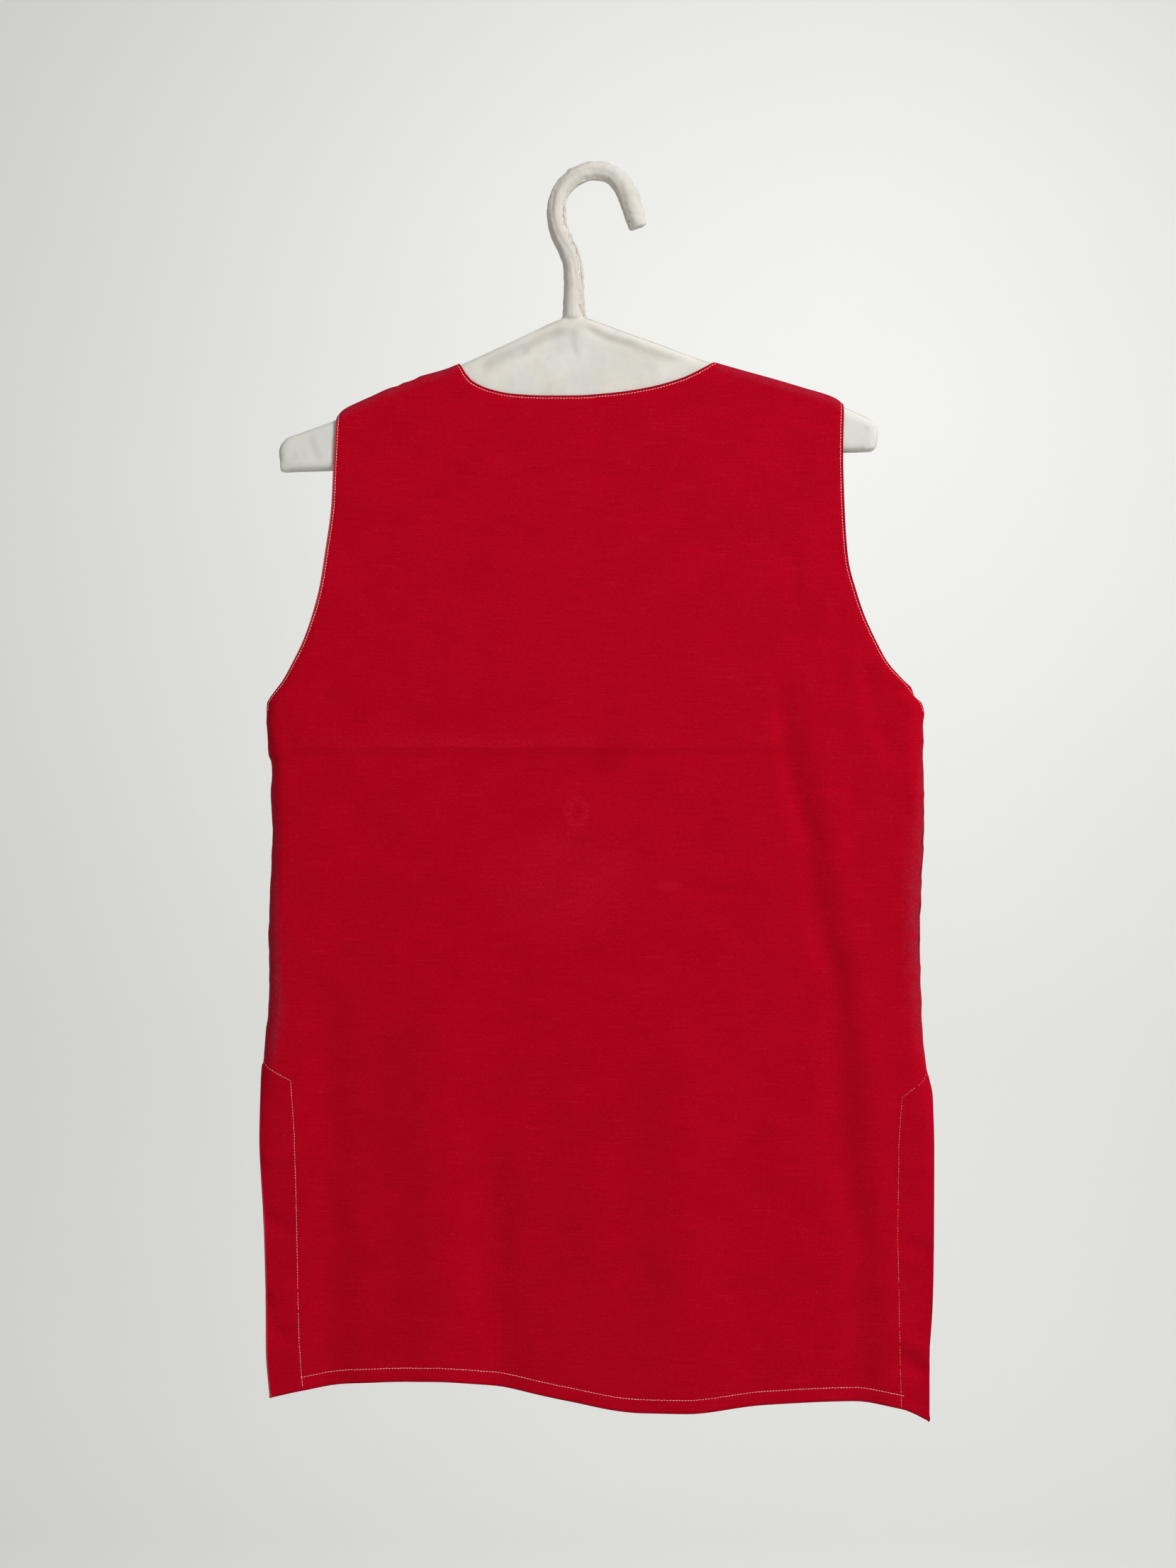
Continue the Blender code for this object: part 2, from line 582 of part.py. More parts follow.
def make_button(material):
    """A round sew-through button with a raised rim and four thread holes."""
    half = BUTTON_THICK / 2
    profile = [
        (0.0, half - BUTTON_DISH),
        (BUTTON_RADIUS - 2 * BUTTON_RIM, half - BUTTON_DISH),
        (BUTTON_RADIUS - BUTTON_RIM, half),
        (BUTTON_RADIUS - BUTTON_RIM / 3, half),
        (BUTTON_RADIUS, half - BUTTON_RIM / 3),
        (BUTTON_RADIUS, -half / 2),
        (BUTTON_RADIUS - BUTTON_RIM, -half),
        (0.0, -half),
    ]
    mesh = bpy.data.meshes.new("button")
    edges = [(k, k + 1) for k in range(len(profile) - 1)]
    mesh.from_pydata([(x, 0.0, z) for x, z in profile], edges, [])
    made = place("button", mesh, material)
    turn = made.modifiers.new("turn", "SCREW")
    turn.steps = 28
    turn.render_steps = 28
    turn.use_merge_vertices = True
    turn.merge_threshold = 0.00001
    turn.use_smooth_shade = True
    cutters = bpy.data.collections.new("cutters")
    bpy.context.scene.collection.children.link(cutters)
    cutters.hide_render = True
    under = cloth_depth(FRONT, section_at(BUTTON_HEIGHT), CENTRE_FRONT, BUTTON_HEIGHT)
    upper = under + TURNED + SEAM_GAP
    centre = (CENTRE_FRONT, upper + SEAM_GAP + half, BUTTON_HEIGHT)
    turned = (-math.pi / 2, 0.0, 0.0)
    for number, (right, up) in enumerate(((1, 1), (1, -1), (-1, 1), (-1, -1))):
        bpy.ops.mesh.primitive_cylinder_add(
            vertices=8,
            radius=THREAD_HOLE_RADIUS,
            depth=4 * BUTTON_THICK,
            location=(
                centre[0] + right * THREAD_HOLE_APART / 2,
                centre[1],
                centre[2] + up * THREAD_HOLE_APART / 2,
            ),
            rotation=turned,
        )
        cutter = bpy.context.object
        cutter.name = f"thread_hole_{number + 1}"
        for owner in list(cutter.users_collection):
            owner.objects.unlink(cutter)
        cutters.objects.link(cutter)
        cutter.hide_render = True
        cutter.display_type = "WIRE"
        cut = made.modifiers.new(f"thread hole {number + 1}", "BOOLEAN")
        cut.operation = "DIFFERENCE"
        cut.solver = "EXACT"
        cut.object = cutter
    made.location = centre
    made.rotation_euler = turned
    return made


clear_scene()
collection = bpy.data.collections.new("long_vest_on_hanger")
bpy.context.scene.collection.children.link(collection)
red = make_material("red_cloth", RED, 0.85)
band_red = make_material("slit_band_cloth", BAND_RED, 0.85)
button_red = make_material("button_plastic", BUTTON_RED, 0.4)
ivory = make_material("hanger_cover", IVORY, 0.9)

make_back(red)
make_front("front_left", -1, red)
make_front("front_right", 1, red)
make_band("slit_band_back_left", BACK, -1, band_red)
make_band("slit_band_back_right", BACK, 1, band_red)
make_band("slit_band_front_left", FRONT, -1, band_red)
make_band("slit_band_front_right", FRONT, 1, band_red)
make_button(button_red)
make_hanger_body(ivory)
make_hanger_hook(ivory)
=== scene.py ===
"""A long sleeveless vest of red cloth, hung with its back to the viewer on a cloth-covered hanger.

The script follows the pieces as they go together: the hanger's board and hook, the back, the two
fronts, the slit bands, the topstitching, and the button. Metres, +Z up. The back faces -Y, the
fronts face +Y, and the origin is the inside top of the hook, where it rests on its support.
"""

import json
import math
import random
from collections import namedtuple

import bpy
import numpy as np
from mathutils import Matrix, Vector, noise

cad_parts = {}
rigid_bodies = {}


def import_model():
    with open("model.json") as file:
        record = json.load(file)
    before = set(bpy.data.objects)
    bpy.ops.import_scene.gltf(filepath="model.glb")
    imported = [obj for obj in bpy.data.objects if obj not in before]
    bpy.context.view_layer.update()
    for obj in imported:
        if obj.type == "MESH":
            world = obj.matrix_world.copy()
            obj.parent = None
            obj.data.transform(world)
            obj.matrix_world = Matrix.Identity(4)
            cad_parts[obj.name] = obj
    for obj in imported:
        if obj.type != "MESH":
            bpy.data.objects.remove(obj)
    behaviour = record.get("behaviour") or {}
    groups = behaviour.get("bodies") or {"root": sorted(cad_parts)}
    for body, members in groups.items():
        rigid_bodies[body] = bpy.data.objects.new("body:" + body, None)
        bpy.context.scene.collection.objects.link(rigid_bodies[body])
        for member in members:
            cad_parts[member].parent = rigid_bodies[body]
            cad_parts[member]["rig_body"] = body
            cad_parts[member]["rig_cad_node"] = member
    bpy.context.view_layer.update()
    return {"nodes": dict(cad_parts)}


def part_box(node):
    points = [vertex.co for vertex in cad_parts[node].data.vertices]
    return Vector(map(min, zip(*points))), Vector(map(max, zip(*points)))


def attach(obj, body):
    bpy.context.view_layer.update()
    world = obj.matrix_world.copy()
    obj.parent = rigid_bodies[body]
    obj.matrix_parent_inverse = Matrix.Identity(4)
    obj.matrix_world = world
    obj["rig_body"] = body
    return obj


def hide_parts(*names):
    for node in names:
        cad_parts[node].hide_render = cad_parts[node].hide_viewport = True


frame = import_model()


# Hanger board. A flat board with rounded edges in a smooth ivory cotton cover, cut to its shape and
# pulled tight over it, so the cover shows small dents and a fold at one corner, with a thin grey
# painted shade along its edges and in its creases. It replaces the board's solid and keeps its form.

def add_node(tree, kind, settings=(), **inputs):
    """Adds a shader node. Its inputs are named or numbered; each is a value or another node's output."""
    made = tree.nodes.new("ShaderNode" + kind)
    for name, value in settings:
        setattr(made, name, value)
    for name, value in inputs.items():
        socket = made.inputs[int(name[1:]) if name[1:].isdigit() else name.replace("_", " ")]
        if isinstance(value, bpy.types.NodeSocket):
            tree.links.new(value, socket)
        else:
            socket.default_value = value
    return made


def sum_up(tree, operation, *values):
    """One arithmetic step on numbers or node outputs."""
    given = {f"i{number}": value for number, value in enumerate(values)}
    return add_node(tree, "Math", [("operation", operation)], **given).outputs[0]


def times(tree, first, second):
    """The product of two numbers or node outputs."""
    return sum_up(tree, "MULTIPLY", first, second)


def add_share(tree, value, share, base):
    """A base with this share of a value added to it."""
    return sum_up(tree, "MULTIPLY_ADD", value, share, base)


def between(tree, value, low, high, to_low=0.0, to_high=1.0):
    """A soft step from one value to another while the input goes from low to high."""
    step = add_node(tree, "MapRange", [("interpolation_type", "SMOOTHSTEP")], Value=value,
                    From_Min=low, From_Max=high, To_Min=to_low, To_Max=to_high)
    return step.outputs["Result"]


def speckle(tree, place, scale, detail=2.0, **more):
    """Noise from 0 to 1 at a place."""
    return add_node(tree, "TexNoise", Vector=place, Scale=scale, Detail=detail, **more).outputs["Fac"]


def on_piece(tree):
    """The place on a piece."""
    return add_node(tree, "TexCoord").outputs["Object"]


def mark(tree, name):
    """How much of a named mark, such as wear, there is at a place on a piece."""
    return add_node(tree, "Attribute", [("attribute_name", name)]).outputs["Fac"]


def blend_colours(tree, share, first, second):
    """Mixes two colours by a share."""
    mix = add_node(tree, "Mix", [("data_type", "RGBA")], Factor=share)
    for socket, value in ((mix.inputs[6], first), (mix.inputs[7], second)):
        if isinstance(value, bpy.types.NodeSocket):
            tree.links.new(value, socket)
        else:
            socket.default_value = value
    return mix.outputs[2]


def new_group(name, inputs, outputs):
    """An empty shader group with these named inputs and outputs."""
    group = bpy.data.node_groups.new(name, "ShaderNodeTree")
    for label, kind, value in inputs:
        socket = group.interface.new_socket(label, in_out="INPUT", socket_type=kind)
        if value is not None:
            socket.default_value = value
    for label, kind in outputs:
        group.interface.new_socket(label, in_out="OUTPUT", socket_type=kind)
    return group, group.nodes.new("NodeGroupInput").outputs, group.nodes.new("NodeGroupOutput").inputs


def make_weave():
    """Plain weave: crossing threads of uneven thickness, thicker slubs along the weft, light nops."""
    group, given, out = new_group(
        "plain_weave",
        [("Cut", "NodeSocketVector", None), ("Threads", "NodeSocketFloat", 1100.0),
         ("Slub Length", "NodeSocketFloat", 26.0)],
        [("Height", "NodeSocketFloat"), ("Streaks", "NodeSocketFloat"), ("Nops", "NodeSocketFloat"),
         ("Clouds", "NodeSocketFloat")],
    )
    drift = add_node(group, "TexNoise", Vector=given["Cut"], Scale=70.0, Detail=2.0)
    moved = add_node(group, "VectorMath", [("operation", "MULTIPLY_ADD")], i0=drift.outputs["Color"],
                     i1=(0.0016, 0.0016, 0.0), i2=given["Cut"])
    places = add_node(group, "SeparateXYZ", Vector=moved.outputs[0])
    turns = times(group, given["Threads"], math.pi)
    warp = sum_up(group, "SINE", times(group, places.outputs["X"], turns))
    weft = sum_up(group, "SINE", times(group, places.outputs["Y"], turns))
    crossing = sum_up(group, "ADD", warp, weft)
    across = add_node(group, "CombineXYZ", X=times(group, places.outputs["X"], given["Slub Length"]),
                      Y=times(group, places.outputs["Y"], 950.0))
    along = add_node(group, "CombineXYZ", X=times(group, places.outputs["X"], 900.0),
                     Y=times(group, places.outputs["Y"], 60.0))
    weft_slubs = speckle(group, across.outputs[0], 1.0, 3.0)
    warp_slubs = speckle(group, along.outputs[0], 1.0)
    streaks = add_share(group, warp_slubs, 0.25, times(group, weft_slubs, 0.75))
    dots = speckle(group, moved.outputs[0], 1300.0, 1.0)
    patches = speckle(group, given["Cut"], 60.0)
    nops = times(group, between(group, dots, 0.70, 0.80), between(group, patches, 0.42, 0.62))
    clouds = speckle(group, given["Cut"], 30.0, 3.0, Roughness=0.55)
    height = add_share(group, crossing, 0.11, streaks)
    for label, value in (("Height", height), ("Streaks", streaks), ("Nops", nops), ("Clouds", clouds)):
        group.links.new(value, out[label])
    return group


weave = make_weave()


def even_finish(name, **values):
    """A material with its shader, whose even values are set on the shader itself."""
    material = bpy.data.materials.new(name)
    material.use_nodes = True
    shader = material.node_tree.nodes["Principled BSDF"]
    for label, value in values.items():
        shader.inputs[label.replace("_", " ")].default_value = value
    return material, material.node_tree, shader


def new_finish(name, roughness, gloss, sheen, sheen_tint):
    """The dull finish of cloth, thread and paint, with a soft sheen."""
    return even_finish(name, Roughness=roughness, Specular_IOR_Level=gloss, Sheen_Weight=sheen,
                       Sheen_Roughness=0.30, Sheen_Tint=sheen_tint)


def colour_and_bump(tree, shader, tone, height, strength, distance):
    """Joins a colour and a fine relief to a material's shader."""
    tree.links.new(tone, shader.inputs["Base Color"])
    bump = add_node(tree, "Bump", Strength=strength, Distance=distance, Height=height)
    tree.links.new(bump.outputs[0], shader.inputs["Normal"])


COVER = (0.675, 0.640, 0.575, 1.0)
# A grey tone for soil, also used for painted shade.
COVER_SOIL_AND_SHADE = (0.46, 0.420, 0.365, 1.0)
COVER_PALE = (0.760, 0.735, 0.680, 1.0)
COVER_COOL = (0.635, 0.640, 0.610, 1.0)


def make_cover_cloth(name, soiled_from):
    """Ivory cotton: a very fine weave, faint clouds, a greyer tone where hands soil it, and painted shade
    on the cover's edges, creases and folds.
    """
    material, tree, shader = new_finish(name, 0.92, 0.20, 0.15, (1.0, 0.98, 0.94, 1.0))
    place = on_piece(tree)
    flat = add_node(tree, "Mapping", Vector=place, Rotation=(math.pi / 2, 0.0, 0.0))
    cloth = add_node(tree, "Group", [("node_tree", weave)], Cut=flat.outputs[0], Threads=1500.0,
                     Slub_Length=60.0).outputs
    soil = speckle(tree, place, 42.0, 4.0)
    tone = blend_colours(tree, between(tree, cloth["Clouds"], 0.35, 0.70), COVER, COVER_PALE)
    grey = between(tree, soil, soiled_from, soiled_from + 0.22, 0.0, 0.6)
    tone = blend_colours(tree, grey, tone, COVER_SOIL_AND_SHADE)
    cool = speckle(tree, place, 55.0)
    tone = blend_colours(tree, between(tree, cool, 0.40, 0.66, 0.0, 0.55), tone, COVER_COOL)
    parts = add_node(tree, "SeparateXYZ", Vector=place).outputs
    ends = between(tree, sum_up(tree, "ABSOLUTE", parts["X"]), 0.150, 0.195, 0.0, 0.55)
    tone = blend_colours(tree, ends, tone, COVER_COOL)
    sleeve = between(tree, parts["Z"], -0.100, -0.088)
    tone = blend_colours(tree, times(tree, sleeve, 0.34), tone, COVER_SOIL_AND_SHADE)
    # Painted shade: greyer by the rim mark along the cover's edges, in its creases and in the sleeve's
    # folds.
    rim = mark(tree, "rim")
    tone = blend_colours(tree, times(tree, rim, 0.70), tone, COVER_SOIL_AND_SHADE)
    creases = speckle(tree, place, 90.0, 3.0)
    puckers = speckle(tree, place, 420.0, 3.0, Roughness=0.6)
    pucker_share = add_share(tree, sleeve, 0.50, 0.12)
    height = add_share(tree, cloth["Height"], 0.03, creases)
    height = add_share(tree, puckers, pucker_share, height)
    colour_and_bump(tree, shader, tone, height, 0.45, 0.0008)
    return material


cover_cloth = make_cover_cloth("hanger_cover_cloth", 0.56)


def only(piece):
    """Selects this piece alone and makes it active."""
    bpy.ops.object.select_all(action="DESELECT")
    piece.select_set(True)
    bpy.context.view_layer.objects.active = piece


def apply(piece, kind, **settings):
    """Adds a modifier with these settings and applies it."""
    only(piece)
    modifier = piece.modifiers.new(kind.lower(), kind)
    for name, value in settings.items():
        setattr(modifier, name, value)
    bpy.ops.object.modifier_apply(modifier=modifier.name)


def copied(node):
    """A free copy of a solid's surface."""
    piece = frame["nodes"][node].copy()
    piece.data = piece.data.copy()
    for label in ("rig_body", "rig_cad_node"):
        if label in piece:
            del piece[label]
    piece.parent = None
    piece.data.materials.clear()
    bpy.context.scene.collection.objects.link(piece)
    return piece


HOOK_FOOT = Vector((-0.0150, 0.0, -0.1000))
FOOT_RADIUS, FOOT_LONG, FOOT_FLAT = 0.0078, 0.0100, 0.78
COVER_FACE = 0.0011
bpy.ops.object.select_all(action="DESELECT")
bpy.ops.mesh.primitive_cylinder_add(vertices=40, radius=FOOT_RADIUS, depth=FOOT_LONG, location=HOOK_FOOT)
bpy.ops.transform.resize(value=(1.0, FOOT_FLAT, 1.0))
bpy.ops.object.transform_apply(location=True, rotation=True, scale=True)
foot = bpy.context.object
cover = copied("hanger_body")
cover.name = "hanger_cover"
rod = copied("hanger_hook")
bpy.ops.object.select_all(action="DESELECT")
for piece in (foot, rod, cover):
    piece.select_set(True)
bpy.context.view_layer.objects.active = cover
bpy.ops.object.join()
apply(cover, "WELD", merge_threshold=0.00002)
apply(cover, "REMESH", mode="VOXEL", voxel_size=COVER_FACE)
apply(cover, "SMOOTH", factor=0.5, iterations=6)

# Creases of the cover on the board: place of both ends, width, and height (below zero a trough)
Crease = namedtuple("Crease", "from_x from_z to_x to_z width height")
DENTS = (
    (-0.0200, -0.1105, -0.0560, -0.1265, 0.0035, -0.0012),
    (-0.0480, -0.1230, -0.0830, -0.1390, 0.0045, -0.0011),
    (-0.0070, -0.1065, 0.0280, -0.1205, 0.0030, -0.0010),
    (0.0220, -0.1180, 0.0640, -0.1315, 0.0040, -0.0008),
    (-0.0160, -0.1080, -0.0130, -0.1300, 0.0035, -0.0006),
    (0.1960, -0.1800, 0.2040, -0.1760, 0.0016, 0.0006),
    (0.1940, -0.1950, 0.2030, -0.1930, 0.0016, 0.0006),
    (-0.2250, -0.2080, -0.2150, -0.1990, 0.0018, -0.0003),
    (-0.2270, -0.2030, -0.2230, -0.2110, 0.0012, 0.0009),
    (-0.2050, -0.1850, -0.1980, -0.2050, 0.0030, -0.0004),
)


def crease_height(crease, x, z, bowed=0.06):
    """Height of one crease at x, z: a soft bowed line, faded at both its ends."""
    run = np.array([crease.to_x - crease.from_x, crease.to_z - crease.from_z])
    length = np.linalg.norm(run)
    run /= length
    along = ((x - crease.from_x) * run[0] + (z - crease.from_z) * run[1]) / length
    off = (x - crease.from_x) * run[1] - (z - crease.from_z) * run[0]
    bend = bowed * length * np.sin(math.pi * np.clip(along, 0.0, 1.0))
    ends = soft(along / 0.3 + 0.3) * soft((1.0 - along) / 0.3 + 0.3)
    return crease.height * ends * np.exp(-(((off - bend) / crease.width) ** 2))


def soft(share):
    """0 below 0, 1 above 1, and a soft step between."""
    held = np.clip(share, 0.0, 1.0)
    return held * held * (3.0 - 2.0 * held)


def eased(at, knots, values):
    """A smooth curve through the values at the knots, which never swings past them."""
    at = np.asarray(at, float)
    knots, values = np.asarray(knots, float), np.asarray(values, float)
    step = np.diff(knots)
    slope = np.diff(values) / step
    tangent = np.zeros_like(values)
    tangent[0], tangent[-1] = slope[0], slope[-1]
    same = slope[:-1] * slope[1:] > 0
    before, after = 2 * step[1:] + step[:-1], step[1:] + 2 * step[:-1]
    tangent[1:-1][same] = ((before + after)[same]
                           / (before[same] / slope[:-1][same] + after[same] / slope[1:][same]))
    k = np.clip(np.searchsorted(knots, at, "right") - 1, 0, len(step) - 1)
    t = np.clip((at - knots[k]) / step[k], 0.0, 1.0)
    t2, t3 = t * t, t * t * t
    return ((2 * t3 - 3 * t2 + 1) * values[k] + (t3 - 2 * t2 + t) * step[k] * tangent[k]
            + (3 * t2 - 2 * t3) * values[k + 1] + (t3 - t2) * step[k] * tangent[k + 1])


def run_along(points):
    """How far along a line of points each point lies."""
    return np.concatenate([[0.0], np.cumsum(np.linalg.norm(np.diff(points, axis=0), axis=1))])


def evenly(points, pitch, curve=np.interp):
    """Points every pitch along a line of points, which are joined straight or by another curve."""
    points = np.asarray(points, float)
    run = run_along(points)
    at = np.linspace(0.0, run[-1], max(int(run[-1] / pitch), 2))
    return np.stack([curve(at, run, points[:, axis]) for axis in range(points.shape[1])], axis=1)


# Hanger hook. A bent rod in a narrow sleeve of the same cotton, which runs on into the board's
# cover. The sleeve is closed by hand along its inner side, where the seam stands up as a whipped
# ridge; on the outside of the bend the spare cloth is pressed flat, and the blunt tip is folded in.

EdgePoint = namedtuple("EdgePoint", "x z")
HOOK_LINE = (  # x, z and radius of the sleeve, from the board up to the tip
    (-0.0150, -0.0996, 0.0079),
    (-0.0150, -0.0920, 0.0074),
    (-0.0153, -0.0700, 0.0069),
    (-0.0174, -0.0556, 0.0066),
    (-0.0251, -0.0387, 0.0065),
    (-0.0277, -0.0259, 0.0065),
    (-0.0261, -0.0130, 0.0066),
    (-0.0205, -0.0033, 0.0068),
    (-0.0112, 0.0036, 0.0068),
    (0.0000, 0.0065, 0.0065),
    (0.0120, 0.0043, 0.0066),
    (0.0211, -0.0053, 0.0065),
    (0.0268, -0.0192, 0.0060),
    (0.0314, -0.0320, 0.0056),
)
hook_middle = evenly(HOOK_LINE, 0.0012, eased)
hook_steps = np.gradient(hook_middle[:, :2], axis=0)
hook_steps /= np.linalg.norm(hook_steps, axis=1, keepdims=True)
hook_inwards = np.stack([hook_steps[:, 1], -hook_steps[:, 0]], axis=1)

# Spare cloth at the sleeve's inner side below the bend and at its outer side above it, and the tip:
# where each starts and ends as shares of the hook's length, and how far it stands out
INNER_FIN_ENDS, INNER_FIN = (0.02, 0.50), 0.0012
OUTER_FIN_ENDS, OUTER_FIN = (0.585, 0.985), 0.0013
TIP_WIDER, TIP_LONGER, TIP_FLATTER = 0.0013, 0.0026, 0.14
TIP_FOLD = -0.0005
SLEEVE_FOLD = -0.0006
SLEEVE_FROM = HOOK_FOOT.z + 0.0015  # above this height the cover's points belong to the sleeve
SLEEVE_DENT, SLEEVE_PUCKER, BOARD_DENT = 0.00042, 0.00030, 0.00020
PLEAT = EdgePoint(-0.2255, -0.2100)  # the cover's fold at the board's lower left corner
PLEAT_OUT, PLEAT_REACH = 0.0017, 0.0034


def shape_cover(mesh):
    """Moves the cover's points: creases on the board, and fins, tip, fold and dents on the hook; and marks
    where shade is painted on the cover.
    """
    count = len(mesh.vertices)
    places, normals = np.empty(count * 3), np.empty(count * 3)
    mesh.vertices.foreach_get("co", places)
    mesh.vertices.foreach_get("normal", normals)
    places, normals = places.reshape(-1, 3), normals.reshape(-1, 3)
    rough = np.array([noise.noise(Vector(place) * 34.0) + 0.5 * noise.noise(Vector(place) * 85.0)
                      for place in places])
    creased = sum(crease_height(Crease(*dent), places[:, 0], places[:, 2]) for dent in DENTS)
    on_face = soft((np.abs(normals[:, 1]) - 0.3) / 0.4)
    lift = rough * BOARD_DENT + creased * on_face
    # The rim mark is painted shade: greyer where the cover turns round the board's edges, and in the
    # troughs of its creases.
    rim = 1.0 - np.minimum(np.abs(normals[:, 1]) / 0.55, 1.0)
    rim = np.maximum(rim, np.clip(-creased / 0.0016, 0.0, 0.62) * on_face)
    hooked = places[:, 2] > SLEEVE_FROM
    away = places[hooked][:, None, [0, 2]] - hook_middle[None, :, :2]
    nearest = np.argmin((away ** 2).sum(axis=2), axis=1)
    along = nearest / (len(hook_middle) - 1)
    inwards, steps = hook_inwards[nearest], hook_steps[nearest]
    radius = hook_middle[nearest, 2]
    off = ((places[hooked][:, [0, 2]] - hook_middle[nearest, :2]) * inwards).sum(axis=1) / radius
    grown = soft((places[hooked][:, 2] - SLEEVE_FROM) / 0.006)
    puckered = np.array([noise.noise(Vector(place) * 150.0) + 0.7 * noise.noise(Vector(place) * 330.0)
                         for place in places[hooked]])
    fins = []
    for (start, end), height in ((INNER_FIN_ENDS, INNER_FIN), (OUTER_FIN_ENDS, OUTER_FIN)):
        uneven_fin = 1.0 + 0.9 * rough[hooked] + 0.5 * puckered
        fins.append(height * uneven_fin * soft((along - start) / 0.03) * soft((end - along) / 0.05))
    tip = soft((along - 0.80) / 0.17)
    sideways = (fins[0] * np.clip(off, 0.0, 1.0) ** 4 - fins[1] * np.clip(-off, 0.0, 1.0) ** 4
                + TIP_WIDER * tip * off)
    moved = places[hooked]
    moved[:, [0, 2]] += inwards * sideways[:, None] * grown[:, None]
    moved[:, [0, 2]] += steps * (TIP_LONGER * soft((along - 0.9) / 0.09))[:, None]
    moved[:, 1] *= 1.0 - TIP_FLATTER * tip
    twist = np.exp(-(((off - 0.75 + 2.6 * along) / 0.22) ** 2)) + 0.7 * np.exp(
        -(((off + 1.7 - 2.4 * along) / 0.25) ** 2))
    shown = soft((-normals[hooked, 1] - 0.1) / 0.5)
    sleeve_lift = SLEEVE_DENT * rough[hooked] + SLEEVE_PUCKER * puckered + SLEEVE_FOLD * twist * shown
    sleeve_lift += TIP_FOLD * np.exp(-(((along - 0.955 + 0.02 * off) / 0.008) ** 2)) * shown
    moved += normals[hooked] * (sleeve_lift * grown)[:, None]
    lift[hooked] = 0.0
    # On the sleeve the rim mark paints shade in its twisted folds.
    rim[hooked] = 0.20 * rim[hooked] + 0.30 * np.clip(twist, 0.0, 1.0) * shown
    places[hooked] = moved
    pulled = np.exp(-(((places[:, 0] - PLEAT.x) ** 2 + (places[:, 2] - PLEAT.z) ** 2) / PLEAT_REACH ** 2))
    places[:, [0, 2]] -= PLEAT_OUT * 0.7 * pulled[:, None]
    # The pleat's corner is kept clear of the painted shade, so it shows lighter.
    rim = np.maximum(rim - pulled, 0.0)
    places += normals * lift[:, None]
    mesh.vertices.foreach_set("co", places.ravel())
    attribute = mesh.attributes.new("rim", "FLOAT", "POINT")
    attribute.data.foreach_set("value", rim.astype(np.float32))


shape_cover(cover.data)
cover.data.materials.append(cover_cloth)
only(cover)
bpy.ops.object.shade_smooth()
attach(cover, "root")
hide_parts("hanger_body", "hanger_hook")


def hook_side(side, outwards):
    """A line along the sleeve, on its inner (1) or outer (-1) side, standing out this much."""
    return hook_middle[:, :2] + hook_inwards * side * (hook_middle[:, 2] + outwards)[:, None]


def thread_bead(name, sides=6, rings=4):
    """One short stitch as a bead of unit length, width and height, modelled once and then copied."""
    bpy.ops.object.select_all(action="DESELECT")
    bpy.ops.mesh.primitive_uv_sphere_add(segments=sides, ring_count=rings, radius=0.5)
    bead = bpy.context.object
    bead.name = name
    bpy.ops.object.mode_set(mode="EDIT")
    bpy.ops.mesh.select_all(action="SELECT")
    bpy.ops.transform.rotate(value=math.pi / 2, orient_axis="Y", center_override=(0.0, 0.0, 0.0))
    bpy.ops.object.mode_set(mode="OBJECT")
    return bead


def put_in(name, data):
    """A new object of a mesh, lamp or camera, put in the scene."""
    thing = bpy.data.objects.new(name, data)
    bpy.context.scene.collection.objects.link(thing)
    return thing


def in_scene(name, mesh):
    """A smooth piece of this mesh, put in the scene."""
    mesh.shade_smooth()
    return put_in(name, mesh)


def sew(name, bead, places, material):
    """Copies a bead to each place, given as its middle, direction, outward normal and three sizes."""
    shape = np.array([point.co for point in bead.data.vertices])
    polygons = [list(face.vertices) for face in bead.data.polygons]
    points, faces = [], []
    for middle, forward, outward, sizes in places:
        forward = Vector(forward).normalized()
        across = Vector(outward).cross(forward).normalized()
        up = forward.cross(across)
        turn = np.array([forward, across, up])
        start = len(points)
        points += ((shape * sizes) @ turn + np.array(middle)).tolist()
        faces += [[corner + start for corner in face] for face in polygons]
    mesh = bpy.data.meshes.new(name)
    mesh.from_pydata(points, [], faces)
    mesh.materials.append(material)
    piece = in_scene(name, mesh)
    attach(piece, "root")


def tube_along(name, points, radii, sides, material):
    """A closed round tube along a line of points, thinning to its ends."""
    points = np.asarray(points, float)
    steps = np.gradient(points, axis=0)
    rows = []
    for point, step, radius in zip(points, steps, radii):
        forward = Vector(step).normalized()
        across = forward.cross(Vector((0.0, 1.0, 0.0))).normalized()
        up = forward.cross(across)
        rows.append([tuple(Vector(point) + (across * math.cos(a) + up * math.sin(a)) * radius)
                     for a in (2 * math.pi * side / sides for side in range(sides))])
    faces = []
    for row in range(len(rows) - 1):
        for side in range(sides):
            after = (side + 1) % sides
            faces.append([row * sides + side, row * sides + after,
                          (row + 1) * sides + after, (row + 1) * sides + side])
    faces += [list(range(sides))[::-1], [(len(rows) - 1) * sides + side for side in range(sides)]]
    mesh = bpy.data.meshes.new(name)
    mesh.from_pydata([point for row in rows for point in row], [], faces)
    mesh.attributes.new("rim", "FLOAT", "POINT")
    mesh.materials.append(material)
    piece = in_scene(name, mesh)
    only(piece)
    bpy.ops.object.mode_set(mode="EDIT")
    bpy.ops.mesh.select_all(action="SELECT")
    bpy.ops.mesh.normals_make_consistent(inside=False)
    bpy.ops.object.mode_set(mode="OBJECT")
    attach(piece, "root")


